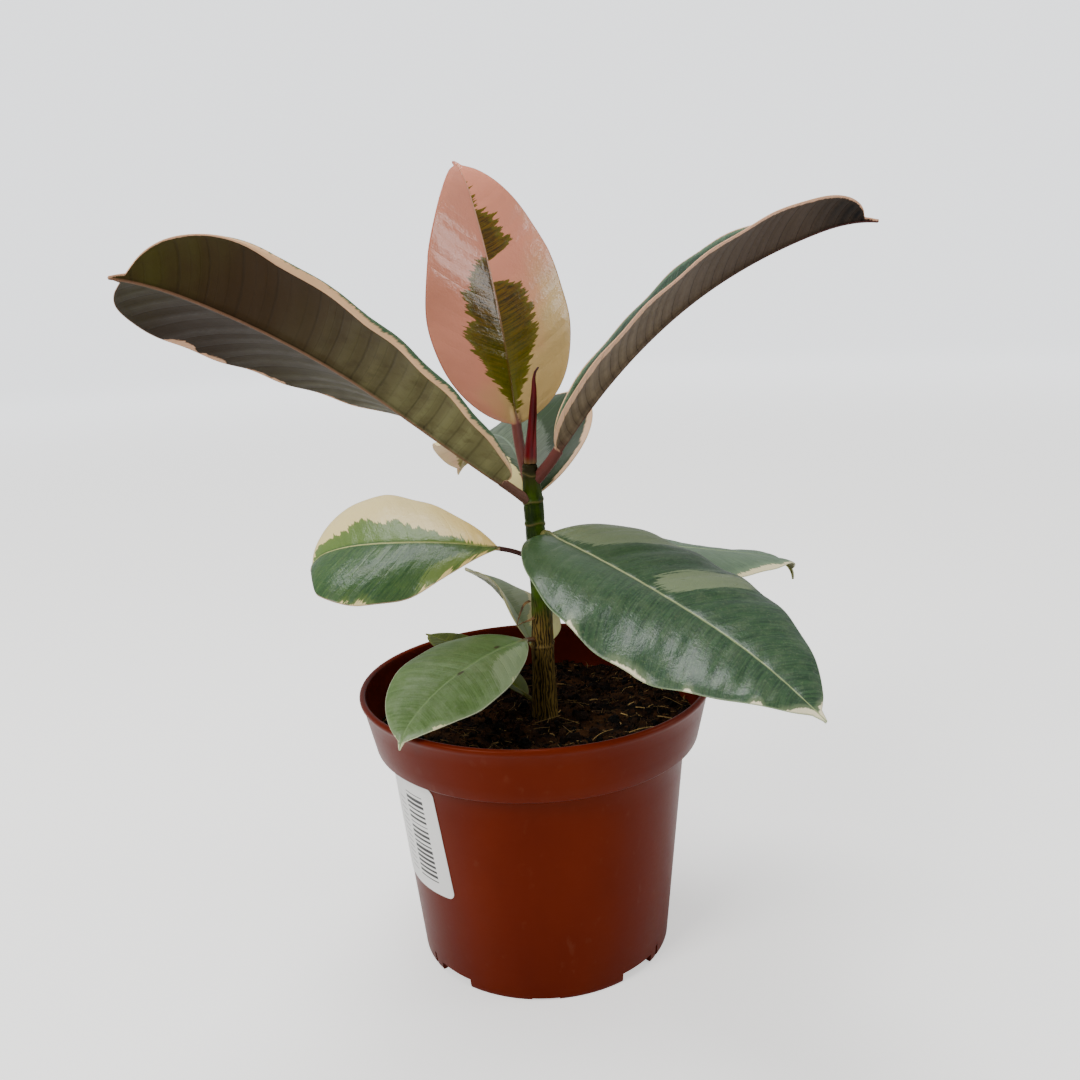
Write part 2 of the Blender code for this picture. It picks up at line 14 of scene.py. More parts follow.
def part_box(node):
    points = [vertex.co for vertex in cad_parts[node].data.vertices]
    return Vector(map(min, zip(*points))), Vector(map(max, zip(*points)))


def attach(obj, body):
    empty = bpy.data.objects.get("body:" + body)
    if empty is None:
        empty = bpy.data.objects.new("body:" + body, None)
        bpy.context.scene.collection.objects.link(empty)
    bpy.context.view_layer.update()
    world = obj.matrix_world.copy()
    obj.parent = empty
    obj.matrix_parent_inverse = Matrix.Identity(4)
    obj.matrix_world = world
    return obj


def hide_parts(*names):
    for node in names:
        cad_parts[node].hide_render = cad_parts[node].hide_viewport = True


bl_info = {
    "name": "Potted Rubber Plant",
    "version": (1, 0, 0),
    "blender": (4, 5, 0),
    "location": "View3D > Sidebar > Rubber Plant",
    "description": "Builds the leaves, stem, soil, pot and stage of a potted rubber plant",
    "category": "Object",
}

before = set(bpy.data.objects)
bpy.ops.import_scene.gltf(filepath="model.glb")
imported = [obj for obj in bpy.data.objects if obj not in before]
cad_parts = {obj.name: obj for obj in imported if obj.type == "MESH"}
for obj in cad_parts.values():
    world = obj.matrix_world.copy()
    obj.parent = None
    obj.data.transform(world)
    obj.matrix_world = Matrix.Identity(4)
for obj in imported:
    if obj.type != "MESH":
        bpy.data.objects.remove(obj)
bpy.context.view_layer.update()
POT_LOW, POT_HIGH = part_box("pot")
AXIS = Vector(((POT_LOW.x + POT_HIGH.x) / 2, (POT_LOW.y + POT_HIGH.y) / 2, 0.0))
MM = 0.001

# Camera of the photograph
LENS_MM = 36.405
SENSOR_MM = 36.0
CAMERA_PLACE = (0.0, -0.354243, 0.230256)
CAMERA_YAW = 0.01115
CAMERA_PITCH = 0.23902
CAMERA_ROLL = -0.04646

# Stage
WALL_TINT = (0.95, 0.97, 1.0)
FLOOR_SIZE = 4.0
FLOOR_FADE = (0.4, 2.4)
FLOOR_DARK = (0.8, 3.0)
LIGHTS_AIM = (0.0, 0.0, 0.12)

# Pot
RIM_R = 60.0
POT_H = 95.5
COLLAR_BOTTOM_R = 55.3
COLLAR_BOTTOM_Z = 76.0
BODY_TOP_R = 50.9
BASE_R = 43.5
WALL = 1.2
FLOOR_UNDERSIDE_Z = 3.8
FLOOR_TOP_Z = 5.2
FOOT_GAP_ANGLE = 19.0
FOOT_GAP_H = 3.2
FOOT_GAP_CENTRES = (-46.5, 43.5, 133.5, 223.5)
WATER_SLOT_ANGLES = (-32.0, 29.0, 151.0, 208.0)
WATER_SLOT_H = 4.6
WATER_SLOT_W = 1.3
NOTCH_ANGLES = (-92.0, 88.0)
NOTCH_W = 9.0
NOTCH_H = 0.7
DRAIN_R = 34.5
DRAIN_SIZE = 6.0
POT_CREASE = 38.0
WELD_GAP = 0.000005

# Soil
SOIL_Z = 81.5
SOIL_RINGS = 70
SOIL_STEPS = 200
WOOD_SHARE = 0.9
STREWN_DEPTH = 4.2
STREWN_FACING = 0.35
FIBRE_LIFT = 0.0006
LUMP_SCALE = 900.0
LUMP_PUSH = 0.0026
FULL_TURN = 6.28

# Stem: centre line as height, offset to the right, radius
STEM_POINTS = (
    (56.0, 2.7, 4.3), (82.0, 2.9, 4.6), (88.0, 3.0, 4.4), (96.0, 3.1, 3.9), (107.0, 3.2, 3.9),
    (115.0, 3.4, 3.6), (124.0, 3.6, 3.5), (136.0, 3.0, 3.3), (146.0, 2.6, 3.3),
    (158.0, 2.3, 3.4), (166.0, 1.9, 2.7), (168.6, 1.6, 2.5), (170.0, 1.6, 2.4),
)
STEM_FOOT_Z = 56.0
STEM_TOP_Z = 170.0
BURIED_TOP_Z = 80.0
STEM_X = 3.1 * MM
RING_STEP = 0.35
RIDGES = 24
RING_SCARS = ((166.4, 0.22), (157.6, 0.28), (149.6, 0.22), (132.0, 0.15), (107.5, 0.3))
STIPULE_STRANDS = {
    "dry_stipule_a": ((-0.4, -0.8, 123.1), (-2.6, -3.2, 122.5), (-4.4, -4.2, 118.6), (-5.4, -4.6, 115.5)),
    "dry_stipule_b": ((1.8, -1.0, 118.0), (-0.4, -3.4, 117.4), (-2.8, -4.4, 116.9), (-5.0, -4.6, 115.9)),
}
STRAND_STEPS = 14
STRAND_RINGS = 26
SHEATH_POINTS = (
    (0.0, 0.0, 2.1), (1.5, 0.0, 2.15), (5.0, 0.3, 1.95), (10.0, 0.8, 1.55), (18.0, 1.6, 1.15),
    (24.0, 2.2, 0.8), (27.5, 2.3, 0.5), (30.0, 3.0, 0.35), (31.0, 3.9, 0.3),
)
SHEATH_BASE = (2.0, -0.4, 170.1)
SHEATH_STEPS = 40
SHEATH_RINGS = 90
SHEATH_STATIONS = 24

# Label
LABEL_W = 50.0
LABEL_H = 40.0
LABEL_CORNER = 3.0
LABEL_MIDDLE_Z = 52.2
LABEL_MIDDLE_AZ = -160.0
LABEL_TILT = 2.0
LABEL_LIFT = 0.12
LABEL_THICK = 0.14
LABEL_ROWS = 14
LABEL_COLUMNS = 45
LABEL_CREASE = 40.0
BAR_PITCH = 1.8
BARS_LOW = -16.5
BARS_HIGH = 16.0
RULE_PITCH = 2.0
RULES_LEFT = 0.5
RULES_LOW = -15.5
RULES_HIGH = 12.0

# Leaves, as in the part's source: lists hold values at even stations from base to tip
LEAVES = {
    "leaf_top": dict(
        height=166, heading=128, petiole=(17.8, 69, 48), petiole_r=1.7, blade=(90, 54),
        taper=(0.59, 0.76), lopsided=0.0, hook=-26, drip=0.03, rise=(82, 77, 72, 65),
        turn=(-4, 0, 3), roll=(-9, -6, -1, -4), fold=(7, 4, 10, 18), curl=(9, 9, 5), wave=(0.3, 4)),
    "leaf_upper_left": dict(
        height=156, heading=215, petiole=(16, 38, 39), petiole_r=1.5, blade=(136, 65),
        taper=(0.51, 0.42), lopsided=0.0, hook=-11, drip=0.03, rise=(37, 37, 28, 19),
        turn=(-1, 3, 8), roll=(-10, 5, 17, 34), fold=(27, 15, 13, 20), curl=(17, 25, 19),
        wave=(0.4, 6)),
    "leaf_upper_right": dict(
        height=163, heading=-15, petiole=(15, 50, 46), petiole_r=1.8, blade=(127, 47),
        taper=(0.5, 0.49), lopsided=0.0, hook=-20, drip=0.04, rise=(55, 43, 26, 13),
        turn=(10, 14, 18), roll=(3, -2, -2, -13), fold=(36, 27, 34, 38), curl=(16, 16, 15),
        wave=(0.3, 6)),
    "leaf_back": dict(
        height=149, heading=107, petiole=(9.8, 50, 40), petiole_r=1.2, blade=(87, 57),
        taper=(0.68, 0.72), lopsided=-0.2, hook=-2, drip=0.04, rise=(47, 15, -18, -52),
        turn=(-9, 6, 14), roll=(1, -10, -13, -7), fold=(31, 15, 14, 13), curl=(7, 11, 11),
        wave=(0.4, 5)),
    "leaf_mid_left": dict(
        height=136, heading=180, petiole=(14, 24, 37), petiole_r=0.8, blade=(70, 53),
        taper=(0.92, 0.46), lopsided=0.0, hook=-45, drip=0.04, rise=(11, 2, -6, -28),
        turn=(-3, -8, -17), roll=(-19, -32, -30, -25), fold=(13, 2, 7, 10), curl=(26, 30, 27),
        wave=(0.4, 4)),
    "leaf_front_right": dict(
        height=141, heading=-47, petiole=(8, 46, 55), petiole_r=1.3, blade=(117, 61),
        taper=(0.54, 0.75), lopsided=-0.03, hook=3, drip=0.03, rise=(-8, -13, -18, -29),
        turn=(-6, -4, -8), roll=(3, 5, 14, 5), fold=(19, 7, 0, 10), curl=(27, 28, 26),
        wave=(0.6, 6)),
    "leaf_right_back": dict(
        height=141, heading=22, petiole=(15, 7, 20), petiole_r=1.1, blade=(94, 43),
        taper=(0.58, 0.68), lopsided=-0.01, hook=-69, drip=0.05, rise=(-11, -13, -13, -19),
        turn=(-1, -2, -1), roll=(0, 5, 0, -1), fold=(6, 1, -3, 14), curl=(22, 28, 14), wave=(0.4, 5)),
    "leaf_front_left": dict(
        height=108, heading=222, petiole=(8, 20, 30), petiole_r=0.8, blade=(65, 37),
        taper=(0.88, 0.82), lopsided=-0.03, hook=-34, drip=0.04, rise=(4, -8, -19, -35),
        turn=(3, 6, 16), roll=(-11, -8, -10, -7), fold=(12, 7, 6, 10), curl=(22, 25, 24),
        wave=(0.2, 4)),
    "leaf_low_back": dict(
        height=102, heading=116, petiole=(8, 18, 10), petiole_r=0.9, blade=(55, 36),
        taper=(0.48, 0.81), lopsided=0.0, hook=-4, drip=0.04, rise=(35, 22, 11, -2),
        turn=(-4, 0, 0), roll=(32, 35, 28, 27), fold=(23, 24, 11, 12), curl=(5, 7, 8), wave=(0.2, 4)),
    "leaf_lowest": dict(
        height=86, heading=141, petiole=(8, 6, 0), petiole_r=0.8, blade=(51, 22),
        taper=(0.62, 0.68), lopsided=0.0, hook=-1, drip=0.04, rise=(26, 20, 13, 5),
        turn=(-1, -2, -2), roll=(16, 14, 4, 0), fold=(10, 9, 11, 11), curl=(10, 10, 9), wave=(0.2, 3)),
}
HOOK_START = 0.84
MIDRIB_STEPS = 480
RING_SPACING = 0.95
RIB_COLUMNS = np.array([0.0, 0.25, 0.5, 0.75, 0.9, 0.98])
OUTER_COLUMNS = 1 - (1 - np.arange(1, 19) / 18) ** 1.25
SECTION_STEPS = 161
HALF_THICK = 0.3
MARGIN_THINNER = 0.1
HEM_ANGLE = 150.0
HEM_INSIDE = 1.6
HEM_REACH = 3.0
HEM_LEAST = 0.05
STALK_RINGS = 22
STALK_CLEAR = 0.6
SEAT_SINK = -0.2
SEAT_ROUNDS = 14
STALK_HANDLE = 0.4
BLADE_STARTS = 7.0
STATION_EASE = 0.105
LAST_STATION = 0.9985
RIM_OUT = 0.12
VEIN_SLANT = 0.32
VEIN_BOW = 0.2
SIDES_APART = 50
NO_PATCH = -9.0
PATCH_POWER = 2.6
FEATHER_REACH = 0.5

# Looks of each leaf. green_left and green_right give the share of the half blade that is
# green, at even stations along the midrib and read along the side veins; patches are paler
# bands between side veins, as side, start and end along the midrib, and inner and outer
# share; hem is the rolled margin's width on the left and right; feather is how far the
# green's teeth reach; quilt is the height and spacing of the swells between side veins;
# lines is how clearly side veins show above and below, crease how deep they are and swell
# how high the skin between them; lean moves the far cream towards the left edge; nicks are
# cream bits of the margin, as side, start, end and depth in mm; ease turns each half down a
# little; gloss is added to the top's roughness and shine is how much it reflects; pucker is
# the fine unevenness of the skin; mottle is how cloudy the green is; shade is painted shade
# that darkens the right half's underside, the half that faces down; spots are brown
# blemishes; under goes from base to tip; colours are sRGB.
ALL_GREEN = (1.3, 1.3)
SHARED_LOOK = dict(
    patches=(), nicks=(), hem=(0, 0), ease=(0, 0), lines=(0.05, 0.15), crease=0.15, swell=0.5,
    lean=0.0, gloss=0.1, shine=0.15, pucker=0.15, mottle=0.0, shade=0.0, spots=())
LOOKS = {
    "leaf_top": dict(
        green_left=(-0.1, 0.06, 0.24, 0.36, 0.44, 0.52, 0.54, 0.45, 0.5, 0.38, 0.36, 0.25, 0.06, -0.2,
                    -0.3, -0.3, -0.3, -0.3, -0.3, -0.3, -0.3),
        green_right=(-0.1, 0.1, 0.2, 0.33, 0.38, 0.47, 0.45, 0.5, 0.45, 0.45, 0.22, -0.5, 0.42, 0.36,
                     0.4, 0.28, 0.04, 0.07, 0.02, -0.2, -0.2),
        feather=4.5, quilt=(0.12, 7.0), lines=(0.0, 0.15), crease=0.08, lean=0.38, gloss=-0.1,
        shine=0.34, pucker=0.8, cream=("c6a66e", "d4886e"), green=("1e1200", "644600"), base="5c5e00",
        pale="6c6614", under=("8f9a5c", "b98a6c", "b98a6c"), rib="c09078", rib_base="5a4408",
        under_rib="a8705c", edge="a8604c", petiole="70403a"),
    "leaf_upper_left": dict(
        green_left=(1.0, 1.02, 1.02, 1.02, 1.02, 1.01, 1.0, 1.0, 1.0, 0.97, 0.9), green_right=(1.2, 1.2),
        nicks=(("right", 0.12, 0.3, 0.7), ("right", 0.36, 0.46, 1.0), ("right", 0.5, 0.58, 1.6),
               ("right", 0.59, 0.7, 2.4)),
        hem=(2.2, 0.0), ease=(0, -3.0), feather=0.9, quilt=(0.45, 9.6), lines=(0.05, 0.35), crease=0.25,
        gloss=0.0, shine=0.08, shade=0.55, cream=("dcb488", "dcb084"), green=("1a3018", "2a4426"),
        pale="5f7a5c", under=("7a7650", "34240f", "3e3810"), rib="b9b48c", rib_base="5c4c3c",
        under_vein="20160a", under_rib="7c5a44", edge="c09478", petiole="64463a"),
    "leaf_upper_right": dict(
        green_left=(0.93, 0.94, 0.96, 0.97, 0.98, 0.98, 0.97, 0.96, 0.96, 0.95, 0.9),
        green_right=(0.7, 0.74, 0.78, 0.84, 0.89, 0.92, 0.94, 0.95, 0.95, 0.93, 0.8),
        feather=0.7, quilt=(0.3, 4.2), lines=(0.05, 0.5), crease=0.35, gloss=0.0, shine=0.1,
        cream=("e0bc8c", "cca080"), green=("1c2c20", "2c4030"), pale="5f7a5c",
        # The underside's near-black tip colour is painted shade in the hollow of the curled tip.
        under=("74644e", "44362a", "080504"), rib="a89a74", under_vein="1c120c", under_rib="4a2220",
        edge="d8a888", petiole="643832"),
    "leaf_back": dict(
        green_left=(-0.2, 0.1, 0.25, 0.3, 0.3, 0.35, 0.4, 0.4, 0.4, 0.3, 0.2),
        green_right=(0.9, 0.93, 0.95, 0.96, 0.96, 0.96, 0.96, 0.95, 0.92, 0.85, 0.6),
        patches=(("right", -0.1, 0.6, 0.42, 1.0),), feather=2.0, quilt=(0.3, 8.0), lean=-1.0,
        cream=("e0d090", "dcb48c"), green=("384434", "606c58"), base="666e60", pale="162c00",
        under=("a8a060", "a89860", "6c6430"), rib="70806c", under_rib="a89a74", edge="d8b490",
        petiole="6e5a44"),
    "leaf_mid_left": dict(
        green_left=ALL_GREEN,
        green_right=(-0.1, 0.0, 0.1, 0.2, 0.26, 0.3, 0.4, 0.34, 0.46, 0.4, 0.3, 0.36, 0.2, -0.3),
        patches=(("left", 0.1, 0.22, 0.5, 0.95),),
        nicks=(("left", 0.06, 0.2, 0.9), ("left", 0.38, 0.46, 1.0), ("left", 0.5, 0.55, 0.9)),
        feather=4.0, quilt=(0.35, 6.5), lines=(0.03, 0.15), crease=0.12, gloss=0.02, shine=0.24,
        pucker=1.2, swell=0.7, cream=("d8bc74", "dcc88c"), green=("264028", "405c34"), base="405a26",
        pale="66783c", right_green="60763a", under=("8c9a70", "8c9a70", "8c9a70"), rib="b4b478",
        rib_base="8a9050", under_rib="8a7a5c", edge="c8a890", petiole="3a1c16"),
    "leaf_front_right": dict(
        green_left=(1.3,) * 12 + (1.1, -0.2), green_right=(1.3,) * 12 + (0.95, -0.2),
        patches=(("left", -0.06, 0.2, 0.1, 1.3), ("left", 0.36, 0.49, 0.06, 1.0)),
        nicks=(("right", 0.26, 0.31, 1.1), ("right", 0.39, 0.52, 1.0), ("right", 0.64, 0.66, 0.8),
               ("right", 0.8, 0.84, 1.0), ("left", 0.93, 0.98, 1.2)),
        feather=1.0, quilt=(0.9, 9.0), lines=(0.0, 0.15), crease=0.04, gloss=0.02, shine=0.26, pucker=0.9,
        swell=1.3, cream=("d8ceac", "d8ceac"), green=("1e3222", "324c30"), base="3a5030", pale="707c5c",
        under=("7c8c64", "7c8c64", "7c8c64"), rib="8c9868", rib_base="a4a878", under_rib="8a8a5c",
        edge="8c9c78", petiole="6c6a3c"),
    "leaf_right_back": dict(
        green_left=(1.3, 1.3, 1.3, 1.3, 1.3, 1.2, 1.1, 1.1, 1.1, 1.0, 0.8),
        green_right=(1.3, 1.2, 1.15, 1.1, 1.0, 0.92, 0.86, 0.84, 0.97, 0.98, 0.8),
        feather=1.6, quilt=(0.25, 7.0), lines=(0.03, 0.15), crease=0.12, shine=0.2,
        cream=("dccfa4", "dccfa4"), green=("4a5c48", "5c7058"), pale="74886a",
        under=("5c5c1c", "4a4a10", "4a4a10"), rib="90a470", under_rib="6c7034", edge="b8bc94",
        petiole="6c6a3c"),
    "leaf_front_left": dict(
        green_left=(1.3, 1.2, 1.2, 1.2, 1.2, 1.2, 1.2, 1.2, 1.2, 1.0, 0.7),
        green_right=(1.3, 1.3, 1.3, 1.3, 1.3, 1.3, 1.3, 1.3, 1.2, 1.0, 0.7),
        patches=(("left", 0.0, 0.34, 0.3, 1.2),), nicks=(("left", 0.7, 0.8, 0.7), ("left", 0.2, 0.24, 0.5)),
        feather=1.6, quilt=(0.1, 4.5), lines=(0.04, 0.15), crease=0.14, shine=0.3, pucker=0.9,
        mottle=0.42, spots=((0.48, 0.03), (0.2, -0.1)), cream=("d8d2a0", "d8d2a0"),
        green=("4c6432", "6a8450"), base="54703c", pale="80906c", under=("8c9a6c", "8c9a6c", "8c9a6c"),
        rib="7c9460", under_rib="8c9a6c", edge="c4c8a8", petiole="5c3c24"),
    "leaf_low_back": dict(
        green_left=(0.9, 0.8, 0.75, 0.72, 0.75, 0.8, 0.85, 0.9, 0.95, 0.95, 0.9),
        green_right=(0.4, 0.2, 0.2, 0.4, 0.6, 0.8, 1.0, 1.1, 1.1, 1.1, 1.0),
        patches=(("right", 0.1, 0.6, 0.2, 1.2),), feather=1.8, quilt=(0.15, 4.5),
        cream=("d0cc90", "ccc694"), green=("708262", "889a74"), pale="98a684",
        under=("7c8450", "545c2c", "545c2c"), rib="8c9870", under_rib="7c8450", edge="a8a880",
        petiole="6c5c30"),
    "leaf_lowest": dict(
        green_left=ALL_GREEN, green_right=ALL_GREEN, feather=2.0, quilt=(0.12, 4.0), gloss=0.15, shine=0.1,
        cream=("a8a050", "a8a050"), green=("2e3a06", "465210"), pale="6e702c",
        under=("4c5410", "4c5410", "4c5410"), rib="5c6420", under_rib="4c5410", edge="5c6428",
        petiole="5a5424"),
}


# Curves and meshes

def linear(code):
    """An sRGB hex code as linear red, green and blue."""
    channels = [int(code[i:i + 2], 16) / 255 for i in (0, 2, 4)]
    return tuple(c / 12.92 if c <= 0.04045 else ((c + 0.055) / 1.055) ** 2.4 for c in channels)


def direction(heading, rise):
    """A step of length one, from its heading round the axis and its rise."""
    h = np.radians(heading)
    r = np.radians(rise)
    return np.stack([np.cos(r) * np.cos(h), np.cos(r) * np.sin(h), np.sin(r) + 0 * h], -1)


def unit(vector):
    """The vector at length one."""
    return vector / np.linalg.norm(vector)


def around(steps):
    """Even angles round a circle."""
    return np.linspace(0, 2 * np.pi, steps, endpoint=False)


def noise_at(x, y, z):
    """Smooth noise from -1 to 1."""
    return noise.noise(Vector((x, y, z)))


def along(values, s):
    """A smooth curve through values at even stations, read at s from 0 to 1."""
    v = np.array(values, float)
    last = len(v) - 1
    x = np.clip(np.asarray(s) * last, 0, last - 1e-9)
    i = np.floor(x).astype(int)
    t = x - i
    p0, p1, p2, p3 = v[np.maximum(i - 1, 0)], v[i], v[i + 1], v[np.minimum(i + 2, last)]
    bend = (2 * p0 - 5 * p1 + 4 * p2 - p3) * t * t + (3 * p1 - p0 - 3 * p2 + p3) * t ** 3
    return 0.5 * (2 * p1 + (p2 - p0) * t + bend)


def placed(name, data):
    """A new object in the scene."""
    obj = bpy.data.objects.new(name, data)
    bpy.context.scene.collection.objects.link(obj)
    return obj


def settled(name, mesh, replaced, material):
    """Places a finished piece, gives it its material and puts it on the frame."""
    obj = placed(name, mesh)
    mesh.materials.clear()
    mesh.materials.append(material)
    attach(obj, "root")
    if replaced:
        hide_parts(replaced)
    return obj


def outward(mesh):
    """Turns every face of a closed mesh outwards and shades it smooth."""
    bm = bmesh.new()
    bm.from_mesh(mesh)
    bmesh.ops.recalc_face_normals(bm, faces=bm.faces)
    if bm.calc_volume(signed=True) < 0:
        bmesh.ops.reverse_faces(bm, faces=bm.faces)
    bm.to_mesh(mesh)
    bm.free()
    mesh.shade_smooth()
    return mesh


class Skin:
    """Collects rings of points with values for a closed, lofted mesh."""

    def __init__(self):
        self.rings = []
        self.values = []

    def add(self, points, **values):
        self.rings.append(np.asarray(points, float))
        self.values.append(values)

    def mesh(self, name, start, end):
        """Joins the rings, closes both ends with a fan and stores the values."""
        count = len(self.rings[0])
        points = np.vstack(self.rings + [np.array([start, end])])
        rows = np.arange(len(self.rings) - 1)[:, None] * count
        k = np.arange(count)
        n = (k + 1) % count
        quads = np.stack([rows + k, rows + n, rows + n + count, rows + k + count], -1).reshape(-1, 4)
        faces = [tuple(map(int, q)) for q in quads]
        first, last = len(points) - 2, len(points) - 1
        top = (len(self.rings) - 1) * count
        faces += [(first, int(b), int(a)) for a, b in zip(k, n)]
        faces += [(last, int(top + a), int(top + b)) for a, b in zip(k, n)]
        mesh = bpy.data.meshes.new(name)
        mesh.from_pydata([tuple(p) for p in points * MM + np.array(AXIS)], [], faces)
        for key in self.values[0]:
            rows = [v[key] for v in self.values]
            data = np.vstack(rows + [rows[0].mean(0), rows[-1].mean(0)])
            layer = mesh.attributes.new(key, "FLOAT_VECTOR", "POINT")
            layer.data.foreach_set("vector", data.astype(np.float32).ravel())
        return outward(mesh)


# Leaf skins

def look_of(name):
    """The look of one leaf, with the shared values where it has none of its own."""
    own = LOOKS[name]
    usual = dict(SHARED_LOOK, base=own["green"][1], rib_base=own["rib"], under_vein=own["rib"])
    return {**usual, **own}


def stem_at(height):
    """Centre offset and radius of the stem at a height."""
    z, x, r = np.array(STEM_POINTS).T
    return np.interp(height, z, x), np.interp(height, z, r)


def half_width(leaf, s):
    """Half the blade's width at s: an oval with a narrow drip tip."""
    base, tip = leaf["taper"]
    widest = base / (base + tip)
    t = np.minimum(s / (1 - leaf["drip"]), 1.0)
    oval = (t / widest) ** base * ((1 - t) / (1 - widest)) ** tip
    point = 0.1 * np.minimum((1 - s) / (2 * leaf["drip"]), 1.0) ** 0.8
    return leaf["blade"][1] / 2 * np.where(s > 0.6, np.hypot(oval, point), oval)


def blade_way(leaf, s):
    """The midrib's direction at s, with the blade's left and up."""
    hook = leaf["hook"] * np.maximum(0.0, (s - HOOK_START) / (1 - HOOK_START)) ** 1.5
    heading = leaf["heading"] + along(leaf["turn"], s)
    forward = direction(heading, along(leaf["rise"], s) + hook)
    level = direction(heading + 90, 0 * s)
    above = np.cross(forward, level)
    roll = np.radians(along(leaf["roll"], s))[..., None]
    left = level * np.cos(roll) + above * np.sin(roll)
    up = above * np.cos(roll) - level * np.sin(roll)
    return forward, left, up


def midrib(leaf, stations):
    """Places on the midrib with the blade's directions there."""
    x0, _ = stem_at(leaf["height"])
    reach, rise, _ = leaf["petiole"]
    base = np.array([x0, 0, leaf["height"]]) + direction(leaf["heading"], rise) * reach
    fine = (np.arange(MIDRIB_STEPS) + 0.5) / MIDRIB_STEPS
    steps = blade_way(leaf, fine)[0] * leaf["blade"][0] / MIDRIB_STEPS
    places = np.vstack([base, base + np.cumsum(steps, 0)])
    marks = np.linspace(0, 1, MIDRIB_STEPS + 1)
    points = np.stack([np.interp(stations, marks, places[:, k]) for k in range(3)], -1)
    return points, blade_way(leaf, stations)


def vein_place(leaf, s, arc, width, side, detail):
    """How far along the blade the side vein through a point leaves the midrib, in mm."""
    back = leaf["blade"][0] * s - VEIN_SLANT * arc - VEIN_BOW * arc ** 2 / max(width, 1.0)
    return back + 1.3 * np.sin(back / 6.1 + detail + side) + 0.7 * np.sin(back / 2.9 + 2 * detail - side)


def half_columns(rib, width):
    """Places across half a blade: close together on the midrib, then out to the margin."""
    inner = RIB_COLUMNS[-1] * rib
    return np.concatenate([RIB_COLUMNS * rib, inner + OUTER_COLUMNS * (width - inner)])


def half_section(leaf, look, s, width, rib, side, detail):
    """Arc length, vein, sideways and upward place and slope of each column of a half blade."""
    which = 0 if side > 0 else 1
    fold = math.radians(float(along(leaf["fold"], s)))
    curl = math.radians(float(along(leaf["curl"], s)))
    hem = look["hem"][which] * math.sin(math.pi * s) ** 0.4 * min(1.0, (1 - s) * 4.5)
    full = width + hem
    u = np.linspace(0, full, SECTION_STEPS)
    share = np.minimum(u / width, 1.0)
    slope = fold + math.radians(look["ease"][which]) * min(1.0, s * 4) - curl * share ** 2
    arc = half_columns(rib, width)
    if hem > HEM_LEAST:
        bend = np.clip((u - (width - HEM_INSIDE)) / HEM_REACH, 0, 1)
        slope = slope - math.radians(HEM_ANGLE) * bend * bend * (3 - 2 * bend) * min(1.0, hem / 2.0)
        arc = half_columns(rib, full)
    x, z = (np.concatenate([[0], np.cumsum((way[1:] + way[:-1]) / 2 * (u[1] - u[0]))])
            for way in (np.cos(slope), np.sin(slope)))
    size, count = leaf["wave"]
    reach = np.minimum(arc / width, 1.0)
    wave = size * math.sin(2 * math.pi * count * s + side) * reach ** 2 * math.sin(math.pi * s)
    vein = vein_place(leaf, s, arc, width, side, detail)
    size, spacing = look["quilt"]
    turn = np.abs((vein / spacing) % 1 - 0.5) * 2
    quilt = size * (0.5 - turn ** 3) + 0.07 * size * np.sin(vein / 1.3 + side)
    quilt = quilt * np.sin(np.pi * reach ** 0.8) * min(1.0, s * 8) * min(1.0, (1 - s) * 8)
    heights = np.interp(arc, u, z) + wave + quilt
    return arc, vein, np.interp(arc, u, x), heights, np.interp(arc, u, slope), full


def pattern(look, s, arc, vein, width, full, length, side):
    """What the material reads in a half blade: place, side vein, and green and pale fields."""
    name = "left" if side > 0 else "right"
    share = np.clip(vein / length, 0, 1)
    green = along(look["green_" + name], share) * width - arc
    for where, start, end, depth in look["nicks"]:
        if where == name:
            t = np.clip((share - start) / (end - start), -0.2, 1.2)
            deep = depth * (1 - (2 * t - 1) ** 4)
            green = np.minimum(green, full - arc - deep + 0.3 * np.sin(vein * 2.7))
    patch = np.full(len(arc), NO_PATCH)
    for where, start, end, near, far in look["patches"]:
        if where == name:
            down = (vein / length * 2 - start - end) / (end - start)
            out = (arc / width * 2 - near - far) / (far - near)
            size = min((end - start) * length, (far - near) * width) / 2
            away = (np.abs(down) ** PATCH_POWER + np.abs(out) ** PATCH_POWER) ** (1 / PATCH_POWER)
            patch = np.maximum(patch, size * (1 - away))
    apart = 0 if side > 0 else look["quilt"][1] * SIDES_APART
    return dict(
        place=np.stack([np.full(len(arc), s), side * arc / full, full - arc], -1),
        vein=np.stack([vein + apart, arc, 0 * arc], -1),
        field=np.stack([green, patch, 0 * arc], -1))


def blade_ring(leaf, look, place, ways, s, detail):
    """One closed ring round the blade, with what its material reads."""
    _, left, up = ways
    length = leaf["blade"][0]
    rib = leaf["petiole_r"] * (1 - 0.75 * s)
    stalk = max(0.0, 1 - s * length / BLADE_STARTS) ** 2
    top, low, values, edges = [], [], [], []
    for side in (1, -1):
        width = float(half_width(leaf, s)) * (1 + side * leaf["lopsided"])
        width = (width ** 4 + (rib * 1.02) ** 4) ** 0.25
        arc, vein, x, z, slope, full = half_section(leaf, look, s, width, rib, side, detail)
        across = left * side
        spots = place + x[:, None] * across + z[:, None] * up
        normal = up * np.cos(slope)[:, None] - across * np.sin(slope)[:, None]
        thick = HALF_THICK - MARGIN_THINNER * arc / full
        dome = np.sqrt(np.clip(1 - (arc / rib) ** 2, 0, 1)) * rib
        groove = 0.25 * np.exp(-(arc / (0.75 * rib + 0.15)) ** 2) * (1 - stalk) * (1 - 0.6 * s)
        upper = thick * (1 - stalk) + dome * stalk - groove
        lower = thick * (1 - stalk) + dome * (0.9 * (1 - stalk) + stalk)
        top.append(spots + normal * upper[:, None])
        low.append(spots - normal * lower[:, None])
        edges.append(spots[-1] + (across * np.cos(slope[-1]) + up * np.sin(slope[-1])) * RIM_OUT)
        values.append(pattern(look, s, arc, vein, width, full, length, side))
    return ring_of(top, low, edges, values)


